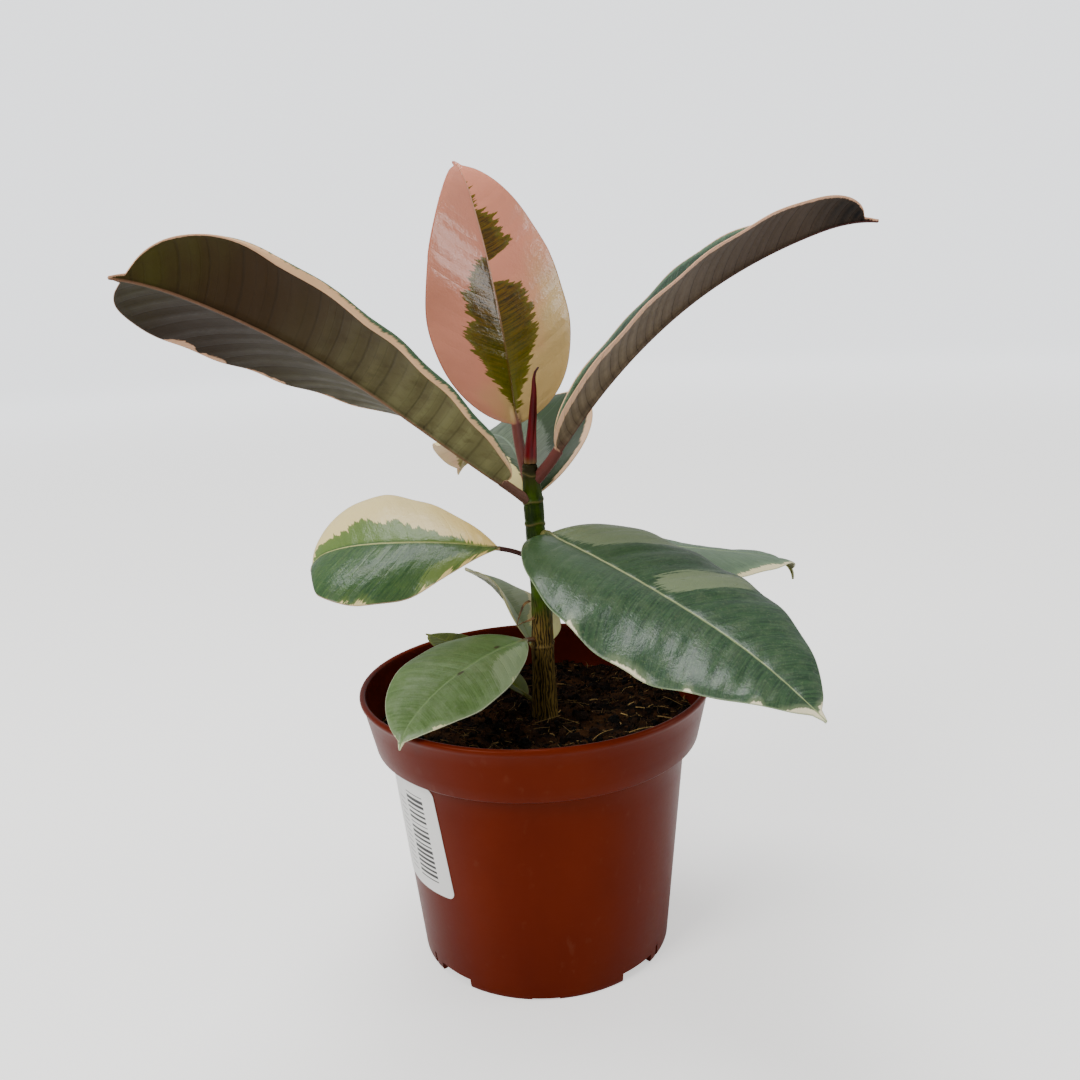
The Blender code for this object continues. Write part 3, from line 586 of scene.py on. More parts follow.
def ring_of(top, low, edges, values):
    """Orders two halves into one ring: over the top from left to right, back below."""
    points = np.vstack([
        top[0][:0:-1], top[0][:1], top[1][1:], edges[1][None],
        low[1][:0:-1], low[0][:1], low[0][1:], edges[0][None]])
    merged = {}
    for key in values[0]:
        one, two = values[0][key], values[1][key]
        rows = [one[:0:-1], one[:1], two[1:], two[-1:], two[:0:-1], one[:1], one[1:], one[-1:]]
        merged[key] = np.vstack(rows).copy()
    half = len(top[0]) * 2 - 1
    merged["field"][half:, 2] = 1.0
    merged["field"][[half, -1], 2] = 0.5
    return points, merged


def stand_out(points):
    """How far points stand off the stem."""
    x, r = stem_at(points[:, 2])
    return np.hypot(points[:, 0] - x, points[:, 1]) - r


def stalk_ring(leaf, base_place, ways, t):
    """One ring of the stalk and its direction there, t from the stem to the blade's base."""
    root = np.array([stem_at(leaf["height"])[0], 0, leaf["height"]])
    handle = leaf["petiole"][0] * STALK_HANDLE
    forward, left, _ = ways
    a = root + direction(leaf["heading"], leaf["petiole"][2]) * handle
    b = base_place - forward * handle
    centre = root * (1 - t) ** 3 + a * 3 * t * (1 - t) ** 2 + b * 3 * t * t * (1 - t) + base_place * t ** 3
    way = unit((a - root) * (1 - t) ** 2 + (b - a) * 2 * t * (1 - t) + (base_place - b) * t * t)
    level = direction(leaf["heading"] + 90, 0) * (1 - t) + left * t
    level = unit(level - way * level.dot(way))
    above = np.cross(way, level)
    radius = leaf["petiole_r"] * (1 + 0.2 * (1 - t) ** 2)
    share = half_columns(1, 1)
    rise = above * np.sqrt(np.clip(1 - share ** 2, 0, 1))[:, None] * radius
    flats = [centre + level * sign * share[:, None] * radius for sign in (1, -1)]
    edges = [centre + level * radius * 1.01, centre - level * radius * 1.01]
    values = [dict(field=0 * rise)] * 2
    return way, ring_of([f + rise for f in flats], [f - rise for f in flats], edges, values)[0]


def add_stalk(leaf, skin, base_values, base_place, ways):
    """Adds the stalk's rings, bent from the stem's skin to the blade, and returns its root."""
    t0 = 0.0
    clear = False
    while not clear and t0 < 0.9:
        t0 += 0.02
        way, points = stalk_ring(leaf, base_place, ways, t0)
        clear = stand_out(points).min() > STALK_CLEAR
    seat = points.copy()
    for _ in range(SEAT_ROUNDS):
        seat -= way * ((stand_out(seat) - SEAT_SINK) * 0.8)[:, None]
    rings = [seat]
    for share, grow in ((0.12, 1.0), (0.3, 1.03), (0.55, 1.04), (0.8, 1.02)):
        spots = seat + (points - seat) * share
        centre = spots.mean(0)
        rings.append(centre + (spots - centre) * grow)
    rings += [stalk_ring(leaf, base_place, ways, t)[1] for t in np.linspace(t0, 1, STALK_RINGS)[:-1]]
    for i, spots in enumerate(rings):
        values = {key: value.copy() for key, value in base_values.items()}
        values["place"][:, 0] = -1 + i / len(rings)
        values["vein"][:, 2] = 1.0
        skin.add(spots, **values)
    return seat.mean(0)


def leaf_mesh(name):
    """Blade and stalk of one leaf as a closed mesh."""
    leaf, look = LEAVES[name], look_of(name)
    detail = sum(map(ord, name)) % 17
    even = np.linspace(0, 1, int(leaf["blade"][0] / RING_SPACING))
    stations = even - STATION_EASE * np.sin(2 * np.pi * even)
    stations[-1] = LAST_STATION
    places, (forward, left, up) = midrib(leaf, stations)
    ways = list(zip(forward, left, up))
    rings = [blade_ring(leaf, look, places[i], ways[i], float(s), detail) for i, s in enumerate(stations)]
    skin = Skin()
    root = add_stalk(leaf, skin, rings[0][1], places[0], ways[0])
    for points, values in rings:
        fade = max(0.0, 1 - values["place"][0, 0] * leaf["blade"][0] / 5.0)
        near = np.clip(1.3 - np.abs(values["vein"][:, 1]) / (leaf["petiole_r"] * 1.1), 0, 1)
        values["vein"][:, 2] = fade * near
        skin.add(points, **values)
    tip, _ = midrib(leaf, np.array([1.0]))
    return skin.mesh(name.replace("leaf_", "blade_"), root, tip[0])


# Node trees

def reckoned(operation):
    """A method that adds a Math node for an operator."""
    def method(self, *others):
        return self.make.math(operation, self, *others)
    return method


class Wire:
    """One output of a node. Reckoning with it adds Math nodes."""
    __add__ = reckoned("ADD")
    __sub__ = reckoned("SUBTRACT")
    __mul__ = reckoned("MULTIPLY")
    __truediv__ = reckoned("DIVIDE")
    __pow__ = reckoned("POWER")
    __mod__ = reckoned("MODULO")
    __gt__ = reckoned("GREATER_THAN")
    __lt__ = reckoned("LESS_THAN")
    __abs__ = reckoned("ABSOLUTE")
    fraction = reckoned("FRACT")
    whole = reckoned("FLOOR")

    def __init__(self, make, socket):
        self.make = make
        self.socket = socket

    def from_middle(self):
        """How far the value is from the middle of its whole step."""
        return abs(self.fraction() - 0.5)

    def ramp(self, low, high, to_low=0.0, to_high=1.0):
        """An eased step between two values."""
        ends = {"Value": self, "From Min": low, "From Max": high, "To Min": to_low, "To Max": to_high}
        return self.make.run("ShaderNodeMapRange", ends, interpolation_type="SMOOTHSTEP")["Result"]


class Wires:
    """All outputs of a node, by name or number."""

    def __init__(self, make, sockets):
        self.make = make
        self.sockets = sockets

    def __getitem__(self, key):
        return Wire(self.make, self.sockets[key])


class Maker:
    """Adds nodes to one tree and joins them up."""

    def __init__(self, tree):
        self.tree = tree

    def join(self, value, socket):
        """Links a wire to an input, or sets the input to a number, vector, text or colour."""
        if isinstance(value, Wire):
            self.tree.links.new(value.socket, socket)
        elif socket.type == "RGBA":
            value = linear(value) if isinstance(value, str) else value
            socket.default_value = (*value, 1.0)[:4]
        else:
            socket.default_value = value

    def node(self, kind, **settings):
        made = self.tree.nodes.new(kind)
        for key, value in settings.items():
            setattr(made, key, value)
        return made

    def run(self, kind, values=None, **settings):
        """Adds a node, fills its inputs by name or number and returns its outputs."""
        made = self.node(kind, **settings)
        for key, value in (values or {}).items():
            self.join(value, made.inputs[key])
        return Wires(self, made.outputs)

    def math(self, operation, *values):
        return self.run("ShaderNodeMath", dict(enumerate(values)), operation=operation)[0]

    def vector(self, *values):
        return self.run("ShaderNodeCombineXYZ", dict(enumerate(values)))[0]

    def split(self, vector):
        return self.run("ShaderNodeSeparateXYZ", {0: vector})

    def scaled(self, vector, factor):
        return self.run("ShaderNodeVectorMath", {0: vector, "Scale": factor}, operation="SCALE")[0]

    def mix(self, share, a, b, kind="RGBA"):
        return self.run("ShaderNodeMix", {"Factor": share, "A": a, "B": b}, data_type=kind)["Result"]

    def coats(self, colour, *coats):
        """Lays coats over a colour, each as its share and its own colour."""
        for share, coat in coats:
            colour = self.mix(share, colour, coat)
        return colour

    def object_place(self):
        return self.run("ShaderNodeTexCoord")["Object"]

    def attribute(self, name):
        """The three values that a mesh holds under a name."""
        return self.split(self.run("ShaderNodeAttribute", attribute_name=name)["Vector"])

    def noise(self, scale, detail=2.0, rough=0.5, at=None):
        """Noise over Object coordinates, or at three values."""
        place = self.vector(*at) if at else self.object_place()
        values = {"Vector": place, "Scale": scale, "Detail": detail, "Roughness": rough}
        return self.run("ShaderNodeTexNoise", values)["Fac"]

    def mottled(self, scale, stretch=1.0):
        """Patch and grain of the shared mottle group."""
        tree = bpy.data.node_groups.get("mottle") or mottle()
        made = self.run("ShaderNodeGroup", {"Scale": scale, "Stretch": stretch}, node_tree=tree)
        return made["Patch"], made["Grain"]


def new_group(name, kind, inputs, outputs):
    """An empty group with named sockets: its tree, maker, inputs and output sockets."""
    tree = bpy.data.node_groups.new(name, kind)
    for way, labels in (("INPUT", inputs), ("OUTPUT", outputs)):
        for label, socket in labels.items():
            tree.interface.new_socket(label, in_out=way, socket_type="NodeSocket" + socket)
    make = Maker(tree)
    return tree, make, make.run("NodeGroupInput"), make.node("NodeGroupOutput").inputs


def shader_group(name, inputs, outputs):
    """A shader group whose sockets are all numbers."""
    numbers = [dict.fromkeys(labels, "Float") for labels in (inputs, outputs)]
    return new_group(name, "ShaderNodeTree", *numbers)


# Materials

def surface(name):
    """A new material with its maker and Principled shader."""
    material = bpy.data.materials.new(name)
    material.use_nodes = True
    return material, Maker(material.node_tree), material.node_tree.nodes["Principled BSDF"].inputs


def finish(make, shader, colour, rough, shine, relief, strength, depth):
    """Joins colour and roughness to the shader, and sets its shine and relief."""
    make.join(colour, shader["Base Color"])
    make.join(rough, shader["Roughness"])
    shader["Specular IOR Level"].default_value = shine
    bump = make.run("ShaderNodeBump", {"Strength": strength, "Distance": depth, "Height": relief})
    make.join(bump["Normal"], shader["Normal"])


def flesh(shader, share, radius):
    """Lets some light spread inside."""
    shader["Subsurface Weight"].default_value = share
    shader["Subsurface Radius"].default_value = radius


def feathered_green():
    """Mask of the green part of a blade, with teeth that follow its side veins."""
    tree, make, given, out = shader_group(
        "feathered_green", ("Field", "Vein", "Across", "Feather"), ("Green", "Core", "Streak"))
    vein, across = given["Vein"], given["Across"]
    teeth = make.noise(1.0, 3.0, 0.6, at=(vein * 0.62, across * 0.05, 0.0))
    lobes = make.noise(1.0, 1.0, at=(vein * 0.16, across * 0.03, 5.0))
    fine = make.noise(1.0, 3.0, 0.6, at=(vein * 1.7, across * 0.12, 9.0))
    swing = (teeth - 0.5) * 4.5 + (lobes - 0.5) + (fine - 0.5) * 2.4
    edge = swing * given["Feather"] + given["Field"]
    make.join(edge.ramp(-0.25, 0.45), out["Green"])
    make.join(edge.ramp(0.8, 3.2), out["Core"])
    make.join(fine, out["Streak"])
    return tree


def side_veins():
    """Lines and relief of a blade's side veins, one pair for each spacing."""
    tree, make, given, out = shader_group(
        "side_veins", ("Vein", "Spacing", "Margin"), ("Line", "Relief"))
    turn = given["Vein"] / given["Spacing"]
    away = turn.from_middle()
    major = away.ramp(0.0, 0.07, 1.0, 0.0)
    minor = (turn * 3.0).from_middle().ramp(0.0, 0.12, 0.4, 0.0)
    inside = given["Margin"].ramp(0.6, 3.0)
    make.join(make.math("MAXIMUM", major, minor) * inside, out["Line"])
    make.join(away.ramp(0.0, 0.5) * inside, out["Relief"])
    return tree


def mottle():
    """Uneven colour and fine relief, as of moulded plastic, bark, paper or earth."""
    tree, make, given, out = shader_group("mottle", ("Scale", "Stretch"), ("Patch", "Grain"))
    x, y, z = make.split(make.object_place())
    place = (x, y, z * given["Stretch"])
    make.join(make.noise(given["Scale"], 4.0, at=place), out["Patch"])
    make.join(make.noise(given["Scale"] * 9.0, 3.0, at=place), out["Grain"])
    return tree


def leaf_green(make, look, s, reach, patch, spread, tint, cloudy):
    """The green of a blade's upper face."""
    deep, light = look["green"]
    pale = look["pale"]
    speckle = make.noise(1100.0, 3.0, 0.65)
    coats = [
        (spread["Streak"].ramp(0.36, 0.64) * (1.0 - look["mottle"]), light),
        (cloudy.ramp(0.42, 0.68, 0.0, max(look["mottle"], 0.15)), pale),
        (tint * 0.35, light),
        (speckle.ramp(0.5, 0.75, 0.0, 0.25), pale),
        (s.ramp(0.05, 0.5, 0.7, 0.0), look["base"])]
    if "right_green" in look:
        coats.append((reach.ramp(-0.06, 0.0, 0.85, 0.0), look["right_green"]))
    coats.append((((spread["Streak"] - 0.5) * 7.0 + patch).ramp(-0.3, 0.4) * 0.85, pale))
    green = make.coats(deep, *coats)
    return make.mix(spread["Core"], make.mix(0.5, pale, green), green)


def leaf_under(make, look, s, reach, cloudy, swell):
    """The green of a blade's underside, with the look's painted shade on its right half."""
    near, far, tip = look["under"]
    return make.coats(
        near, (s.ramp(0.1, 0.75), far), (s.ramp(0.78, 0.95), tip), (cloudy.ramp(0.42, 0.72, 0.0, 0.4), far),
        (swell.ramp(0.2, 1.0, 0.3, 0.0), far), (reach.ramp(-0.05, 0.0, look["shade"], 0.0), "140c04"))


def leaf_material(name, green_group, vein_group, settings):
    """Both faces, midrib, margin and stalk of one leaf."""
    look = look_of(name)
    material, make, shader = surface(name + "_skin")
    s, reach, margin = make.attribute("place")
    vein, across, stalk = make.attribute("vein")
    field, patch, under = make.attribute("field")
    spread = make.run("ShaderNodeGroup", {
        "Field": field, "Vein": vein, "Across": across, "Feather": look["feather"] * FEATHER_REACH},
        node_tree=green_group)
    veins = make.run("ShaderNodeGroup", {
        "Vein": vein, "Spacing": look["quilt"][1], "Margin": margin}, node_tree=vein_group)
    line, swell = veins["Line"], veins["Relief"]
    tint = make.noise(1.0, 2.0, at=(vein * 0.05, across * 0.06, 3.0))
    cloudy = make.noise(190.0, 4.0, 0.6)
    cream = make.mix((reach * look["lean"] + tint * 0.5 + s).ramp(0.3, 0.7), *look["cream"])
    on_rib = across / (s * -0.4 + 0.7)
    above, below = look["lines"]
    top = make.coats(
        cream, (spread["Green"], leaf_green(make, look, s, reach, patch, spread, tint, cloudy)),
        (line * above, look["rib"]),
        (on_rib.ramp(0.5, 1.0, 0.8, 0.0), make.mix(s.ramp(0.2, 0.65), look["rib_base"], look["rib"])))
    low = make.coats(
        make.mix(0.25, look["edge"], cream),
        (spread["Green"], leaf_under(make, look, s, reach, cloudy, swell)),
        (line * below, look["under_vein"]), (on_rib.ramp(0.7, 1.5, 0.8, 0.0), look["under_rib"]))
    skin = make.coats(top, (under.ramp(0.3, 0.7), low), (margin.ramp(0.05, 0.35, 0.6, 0.0), look["edge"]))
    for where, off in look["spots"]:
        away = make.vector((s - where) * 30.0, (reach - off) * 17.0, (cloudy - 0.5) * 3.0)
        far = make.run("ShaderNodeVectorMath", {0: away}, operation="LENGTH")["Value"]
        skin = make.mix(far.ramp(0.45, 1.0, 0.85, 0.0), skin, "301606")
    skin = make.mix(stalk, skin, look["petiole"])
    gloss = make.mix(under, settings.top_roughness + look["gloss"], settings.under_roughness, "FLOAT")
    rough = (make.noise(260.0, 3.0) - 0.5) * 0.12 + gloss
    relief = swell * look["swell"] - line * look["crease"] + spread["Streak"] * 0.1
    relief = relief + make.noise(1500.0) * 0.08 + make.noise(420.0, 3.0, 0.65) * look["pucker"]
    finish(make, shader, skin, rough, look["shine"], relief, settings.vein_strength, 0.0004)
    flesh(shader, settings.translucency, (0.0012, 0.0012, 0.0005))
    shader["Subsurface Scale"].default_value = 1.0
    return material


def pot_material(settings):
    """Satin moulded plastic, a little uneven, with fine streaks and dust."""
    material, make, shader = surface("pot_plastic_skin")
    patch, grain = make.mottled(28.0, 0.6)
    x, y, z = make.split(make.object_place())
    fine = make.noise(900.0)
    streak = make.noise(1.0, 3.0, at=(x * 60.0, y * 60.0, z * 500.0))
    body = make.coats(
        settings.deep, (patch.ramp(0.0, 1.0), settings.light),
        (streak.ramp(0.45, 0.75) * 0.05, settings.light), (grain.ramp(0.62, 0.8) * 0.03, "b89a84"))
    rough = (patch - 0.5) * 0.12 + settings.roughness + (fine - 0.5) * 0.08
    finish(make, shader, body, rough, 0.14, fine * 0.5 + streak, 0.25, 0.00008)
    shader["Specular Tint"].default_value = (1.0, 0.5, 0.36, 1.0)
    return material


def stem_material(settings):
    """Green bark above, corky and striped below, with pale ring scars."""
    material, make, shader = surface("stem_skin")
    x, y, z = make.split(make.object_place())
    scar = make.attribute("mark")[0]
    high = z * (1 / MM)
    turn = make.math("ARCTAN2", y - AXIS.y, x - (AXIS.x + STEM_X))
    sway = make.noise(1.0, 3.0, 0.6, at=(x * 260.0, y * 260.0, z * 90.0))
    ridge = (turn * (RIDGES / (2 * math.pi)) + sway * 4.4).from_middle() * 2.0
    flecks = make.noise(1.0, 4.0, 0.6, at=(x * 1400.0, y * 1400.0, z * 160.0))
    stripes = ridge * 0.36 + flecks * 0.64
    coarse = make.noise(180.0, 3.0)
    cork_top = settings.cork_top / MM
    corky = ((coarse - 0.5) * 16.0 + high).ramp(cork_top - 5.0, cork_top + 7.0, 1.0, 0.0)
    cork = make.coats("140c04", (stripes.ramp(0.36, 0.62), "745e2c"), (coarse * 0.3, "4c3c14"))
    green = make.coats(
        "162600", (coarse.ramp(0.35, 0.65), "344a00"), (stripes.ramp(0.6, 0.8), "384410"),
        (high.ramp(157.0, 168.0) * 0.75, "2a2010"))
    bark = make.coats(green, (corky, cork), (scar * 0.35, "8a7448"))
    relief = stripes * (corky * 0.8 + 0.2) + coarse * 0.3
    finish(make, shader, bark, make.mix(corky, 0.42, 0.72, "FLOAT"), 0.1, relief, 0.8, 0.0005)
    return material


def sheath_material(settings):
    """Crimson sheath, greenish at its base and dark at its tip."""
    material, make, shader = surface("sheath_skin")
    height, ridge, _ = make.attribute("mark")
    patch, grain = make.mottled(260.0, 0.25)
    red = make.coats(
        settings.sheath_dark, (patch.ramp(0.3, 0.7), settings.sheath_light), (ridge * 0.2, "a85048"),
        (height.ramp(0.0, 0.09, 0.6, 0.0), "6c5c2a"), (height.ramp(0.7, 1.0, 0.0, 0.7), "2a1512"))
    finish(make, shader, red, grain * 0.15 + 0.28, 0.3, patch, 0.35, 0.0002)
    flesh(shader, 0.06, (0.0012, 0.0004, 0.0003))
    return material


def strand_material():
    """Dry brown skin of an old bud sheath."""
    material, make, shader = surface("dry_stipule_skin")
    patch, grain = make.mottled(420.0, 0.3)
    brown = make.mix(patch.ramp(0.3, 0.7), "3a2410", "8c6a40")
    finish(make, shader, brown, grain * 0.2 + 0.55, 0.5, grain, 0.5, 0.0002)
    return material


def soil_material(settings):
    """Dark earth of the bed."""
    material, make, shader = surface("soil_bed_skin")
    patch, grain = make.mottled(140.0)
    earth = make.coats(
        settings.deep, (patch.ramp(0.3, 0.7), settings.light), (grain.ramp(0.55, 0.75) * 0.5, "140c06"))
    finish(make, shader, earth, grain * 0.2 + 0.75, 0.1, patch + grain, 0.9, 0.0008)
    return material


def crumb_material(name, dark, light, rough, scale, rare):
    """Crumbs or fibres, each with its own tone."""
    material, make, shader = surface(name)
    patch, grain = make.mottled(scale)
    tone = make.run("ShaderNodeAttribute", attribute_name="tone")["Fac"]
    colour = make.coats(dark, (tone ** rare, light), (patch.ramp(0.4, 0.7) * 0.4, dark))
    finish(make, shader, colour, grain * 0.2 + rough, 0.15, patch + grain, 0.7, 0.0003)
    return material


def label_material(settings):
    """White paper with a ladder of plain bars and a few grey rules."""
    material, make, shader = surface("label_skin")
    x, y, printed = make.attribute("sheet")
    patch, grain = make.mottled(160.0)
    paper = make.mix(patch * 0.25, settings.paper, "cfcdc6")
    step = y / BAR_PITCH
    half = make.noise(1.0, 0.0, at=(0.0, step.whole() * 3.7, 4.0)) * 0.9 - 0.16
    bars = (step.from_middle() - half).ramp(-0.04, 0.04, 1.0, 0.0)
    column = (x > settings.bars_from / MM) * (x < settings.bars_to / MM)
    bars = bars * (column * (y > BARS_LOW) * (y < BARS_HIGH))
    row = y / RULE_PITCH
    ragged = make.noise(1.0, 0.0, at=(0.0, row.whole(), 7.0)) * 5.0 + 3.2
    rules = row.from_middle().ramp(0.09, 0.13, 1.0, 0.0) * (x > RULES_LEFT) * (x < ragged)
    rules = rules * (y > RULES_LOW) * (y < RULES_HIGH)
    sheet = make.coats(
        paper, (rules * 0.7, "6c6c6c"), (bars * 0.97, settings.ink), (printed, "b8b4aa"))
    finish(make, shader, sheet, grain * 0.12 + 0.3, 0.2, patch, 0.2, 0.00015)
    return material


# Geometry Nodes trees

def geometry_tree(name, **inputs):
    """A tree that takes a mesh, named sizes and a material."""
    sockets = {"Geometry": "Geometry", **inputs, "Material": "Material"}
    return new_group(name, "GeometryNodeTree", sockets, {"Geometry": "Geometry"})


def moved(make, geometry, **values):
    """The geometry with its points at a new position, or pushed by an offset."""
    named = {key.capitalize(): value for key, value in values.items()}
    return make.run("GeometryNodeSetPosition", {"Geometry": geometry, **named})["Geometry"]


def end_tree(make, geometry, given, out):
    """Realizes whatever is instanced, sets the material and ends the tree."""
    real = make.run("GeometryNodeRealizeInstances", {"Geometry": geometry})["Geometry"]
    painted = make.run("GeometryNodeSetMaterial", {"Geometry": real, "Material": given["Material"]})
    make.join(painted["Geometry"], out["Geometry"])


def lathe_tree():
    """Turns a row of profile points about the z axis into a closed mesh."""
    tree, make, given, out = geometry_tree("pot_lathe", Steps="Int")
    profile = given["Geometry"]
    size = make.run("GeometryNodeAttributeDomainSize", {"Geometry": profile}, component="MESH")
    count = size["Point Count"]
    grid = make.run("GeometryNodeMeshGrid", {
        "Size X": 1.0, "Size Y": 1.0, "Vertices X": count + 1.0,
        "Vertices Y": given["Steps"] + 1.0})["Mesh"]
    place = make.run("GeometryNodeInputPosition")[0]
    across, up, _ = make.split(place)
    row = make.math("ROUND", (across + 0.5) * count) % count
    turn = (up + 0.5) * (2 * math.pi)
    pick = make.run(
        "GeometryNodeSampleIndex", {"Geometry": profile, "Value": place, "Index": row},
        data_type="FLOAT_VECTOR", domain="POINT")["Value"]
    radius, _, height = make.split(pick)
    spot = make.vector(radius * make.math("COSINE", turn), radius * make.math("SINE", turn), height)
    turned = moved(make, grid, position=spot)
    weld = make.run("GeometryNodeMergeByDistance", {"Geometry": turned, "Distance": WELD_GAP})
    end_tree(make, weld["Geometry"], given, out)
    return tree


def random_value(make, low, high, seed, kind="FLOAT"):
    """A random number or vector for each point or copy."""
    limits = {"Min": low, "Max": high, "Seed": seed}
    return make.run("FunctionNodeRandomValue", limits, data_type=kind)["Value"]


def scatter_tree(name, **inputs):
    """A tree with points on the top of the bed, away from its walls."""
    tree, make, given, out = geometry_tree(
        name, Density="Float", Seed="Int", Smallest="Float", Largest="Float", **inputs)
    height = make.split(make.run("GeometryNodeInputPosition")[0])[2]
    facing = make.split(make.run("GeometryNodeInputNormal")[0])[2]
    spread = make.run("GeometryNodeDistributePointsOnFaces", {
        "Mesh": given["Geometry"],
        "Selection": (height > (SOIL_Z - STREWN_DEPTH) * MM) * (facing > STREWN_FACING),
        "Density": given["Density"], "Seed": given["Seed"]}, distribute_method="RANDOM")
    return tree, make, given, out, spread["Points"]


def copies(make, given, points, shape, skew, forms, turns):
    """Copies of a shape, each with a random size, form, turn and tone."""
    seed, least = given["Seed"], given["Smallest"]
    size = random_value(make, 0.0, 1.0, seed + 1.0) ** skew * (given["Largest"] - least) + least
    form = random_value(make, *forms, seed + 2.0, "FLOAT_VECTOR")
    turn = random_value(make, *turns, seed + 3.0, "FLOAT_VECTOR")
    made = make.run("GeometryNodeInstanceOnPoints", {
        "Points": points, "Instance": shape, "Rotation": turn,
        "Scale": make.scaled(form, size)})["Instances"]
    tone = random_value(make, 0.0, 1.0, seed + 4.0)
    return make.run(
        "GeometryNodeStoreNamedAttribute", {"Geometry": made, "Name": "tone", "Value": tone},
        data_type="FLOAT", domain="INSTANCE")["Geometry"]


def crumb_tree():
    """Rough crumbs of random size and turn, scattered on the soil."""
    tree, make, given, out, points = scatter_tree("soil_crumb_scatter", Detail="Int")
    ball = make.run("GeometryNodeMeshIcoSphere", {"Subdivisions": given["Detail"], "Radius": 0.5})["Mesh"]
    crumbs = copies(make, given, points, ball, 2.6, ((0.65, 0.65, 0.5), (1.35, 1.35, 1.0)),
                    ((0, 0, 0), (FULL_TURN, FULL_TURN, FULL_TURN)))
    real = make.run("GeometryNodeRealizeInstances", {"Geometry": crumbs})["Geometry"]
    lumps = make.run("ShaderNodeTexNoise", {"Scale": LUMP_SCALE, "Detail": 1.0})["Color"]
    push = make.run("ShaderNodeVectorMath", {0: lumps, 1: (0.5, 0.5, 0.5)}, operation="SUBTRACT")[0]
    end_tree(make, moved(make, real, offset=make.scaled(push, LUMP_PUSH)), given, out)
    return tree


def fibre_tree():
    """Bent fibres and woody slivers lying on the soil."""
    tree, make, given, out, points = scatter_tree("soil_fibre_scatter", Width="Float")
    bow = make.run("GeometryNodeCurveQuadraticBezier", {
        "Resolution": 5, "Start": (-0.5, 0, 0), "Middle": (0.05, 0.2, 0.1),
        "End": (0.5, -0.05, 0.02)})["Curve"]
    ring = make.run("GeometryNodeCurvePrimitiveCircle", {
        "Resolution": 4, "Radius": given["Width"] / given["Largest"]})["Curve"]
    tube = make.run("GeometryNodeCurveToMesh", {
        "Curve": bow, "Profile Curve": ring, "Fill Caps": True})["Mesh"]
    fibres = copies(make, given, moved(make, points, offset=(0, 0, FIBRE_LIFT)), tube, 1.6,
                    ((0.9, -1.2, -0.2), (1.1, 1.2, 1.4)), ((-0.25, -0.3, 0), (0.25, 0.3, FULL_TURN)))
    end_tree(make, fibres, given, out)
    return tree


def grown(name, mesh, tree, values):
    """Runs a tree on a mesh and returns the plain mesh that it gives."""
    obj = placed(name, mesh)
    modifier = obj.modifiers.new("tree", "NODES")
    modifier.node_group = tree
    sockets = {s.name: s.identifier for s in tree.interface.items_tree if s.in_out == "INPUT"}
    for label, value in values.items():
        modifier[sockets[label]] = value
    return taken(name, obj)


def taken(name, obj):
    """The plain mesh of an object with its modifiers done. The object goes."""
    bpy.context.view_layer.update()
    made = bpy.data.meshes.new_from_object(obj.evaluated_get(bpy.context.evaluated_depsgraph_get()))
    bpy.data.objects.remove(obj)
    made.name = name
    return made


# Pot and label

def body_radius(z):
    """Outer radius of the pot's tapered body."""
    return BASE_R + (BODY_TOP_R - BASE_R) * z / COLLAR_BOTTOM_Z


def arc_points(centre, radius, start, end, steps):
    """Points on an arc of the pot's section, from one angle to another."""
    angles = np.radians(np.linspace(start, end, steps + 1))
    return [(centre[0] + radius * math.cos(a), centre[1] + radius * math.sin(a)) for a in angles]


def straight(start, end, steps):
    """Even points between two places of the section, without the first one."""
    return [(start[0] + (end[0] - start[0]) * i / steps, start[1] + (end[1] - start[1]) * i / steps)
            for i in range(1, steps + 1)]


def pot_section():
    """Closed section of the pot wall: rolled lip, collar, body, foot, floor and inside."""
    step = COLLAR_BOTTOM_Z
    lip = arc_points((RIM_R - 1.15, POT_H - 1.1), 1.1, 165, -20, 10)
    neck = (RIM_R - 1.15, POT_H - 3.2)
    collar = straight(neck, (COLLAR_BOTTOM_R + 0.25, step + 1.3), 4)
    turn_in = arc_points((COLLAR_BOTTOM_R - 1.05, step + 1.2), 1.2, -5, -90, 5)
    shelf = [(BODY_TOP_R + 1.0, step - 0.1), (BODY_TOP_R + 0.3, step - 0.45),
             (BODY_TOP_R - 0.1, step - 1.4)]
    body = straight(shelf[-1], (BASE_R + 0.2, 1.6), 8)
    foot = [(BASE_R + 0.1, 0.7), (BASE_R - 0.2, 0.15), (BASE_R - 0.6, 0.0), (BASE_R - WALL - 0.6, 0.0),
            (BASE_R - WALL - 0.9, 0.3), (BASE_R - WALL - 1.1, 1.6),
            (BASE_R - WALL - 1.7, FLOOR_UNDERSIDE_Z)]
    under = [(20.0, FLOOR_UNDERSIDE_Z), (0.0, FLOOR_UNDERSIDE_Z), (0.0, FLOOR_TOP_Z), (20.0, FLOOR_TOP_Z)]
    inside = [(body_radius(FLOOR_TOP_Z) - WALL - 1.0, FLOOR_TOP_Z), (body_radius(6.4) - WALL, 6.4)]
    inside += straight(inside[-1], (BODY_TOP_R - WALL - 0.1, step - 0.2), 6)
    inside += [(BODY_TOP_R - 0.3, step + 0.9), (COLLAR_BOTTOM_R - WALL - 1.0, step + 1.5),
               (COLLAR_BOTTOM_R - WALL, step + 2.6)]
    inside += straight(inside[-1], (RIM_R - 2.35, POT_H - 3.0), 4)
    outside = lip + [(RIM_R - 0.45, POT_H - 2.1), neck] + collar + turn_in + shelf + body
    return outside + foot + under + inside


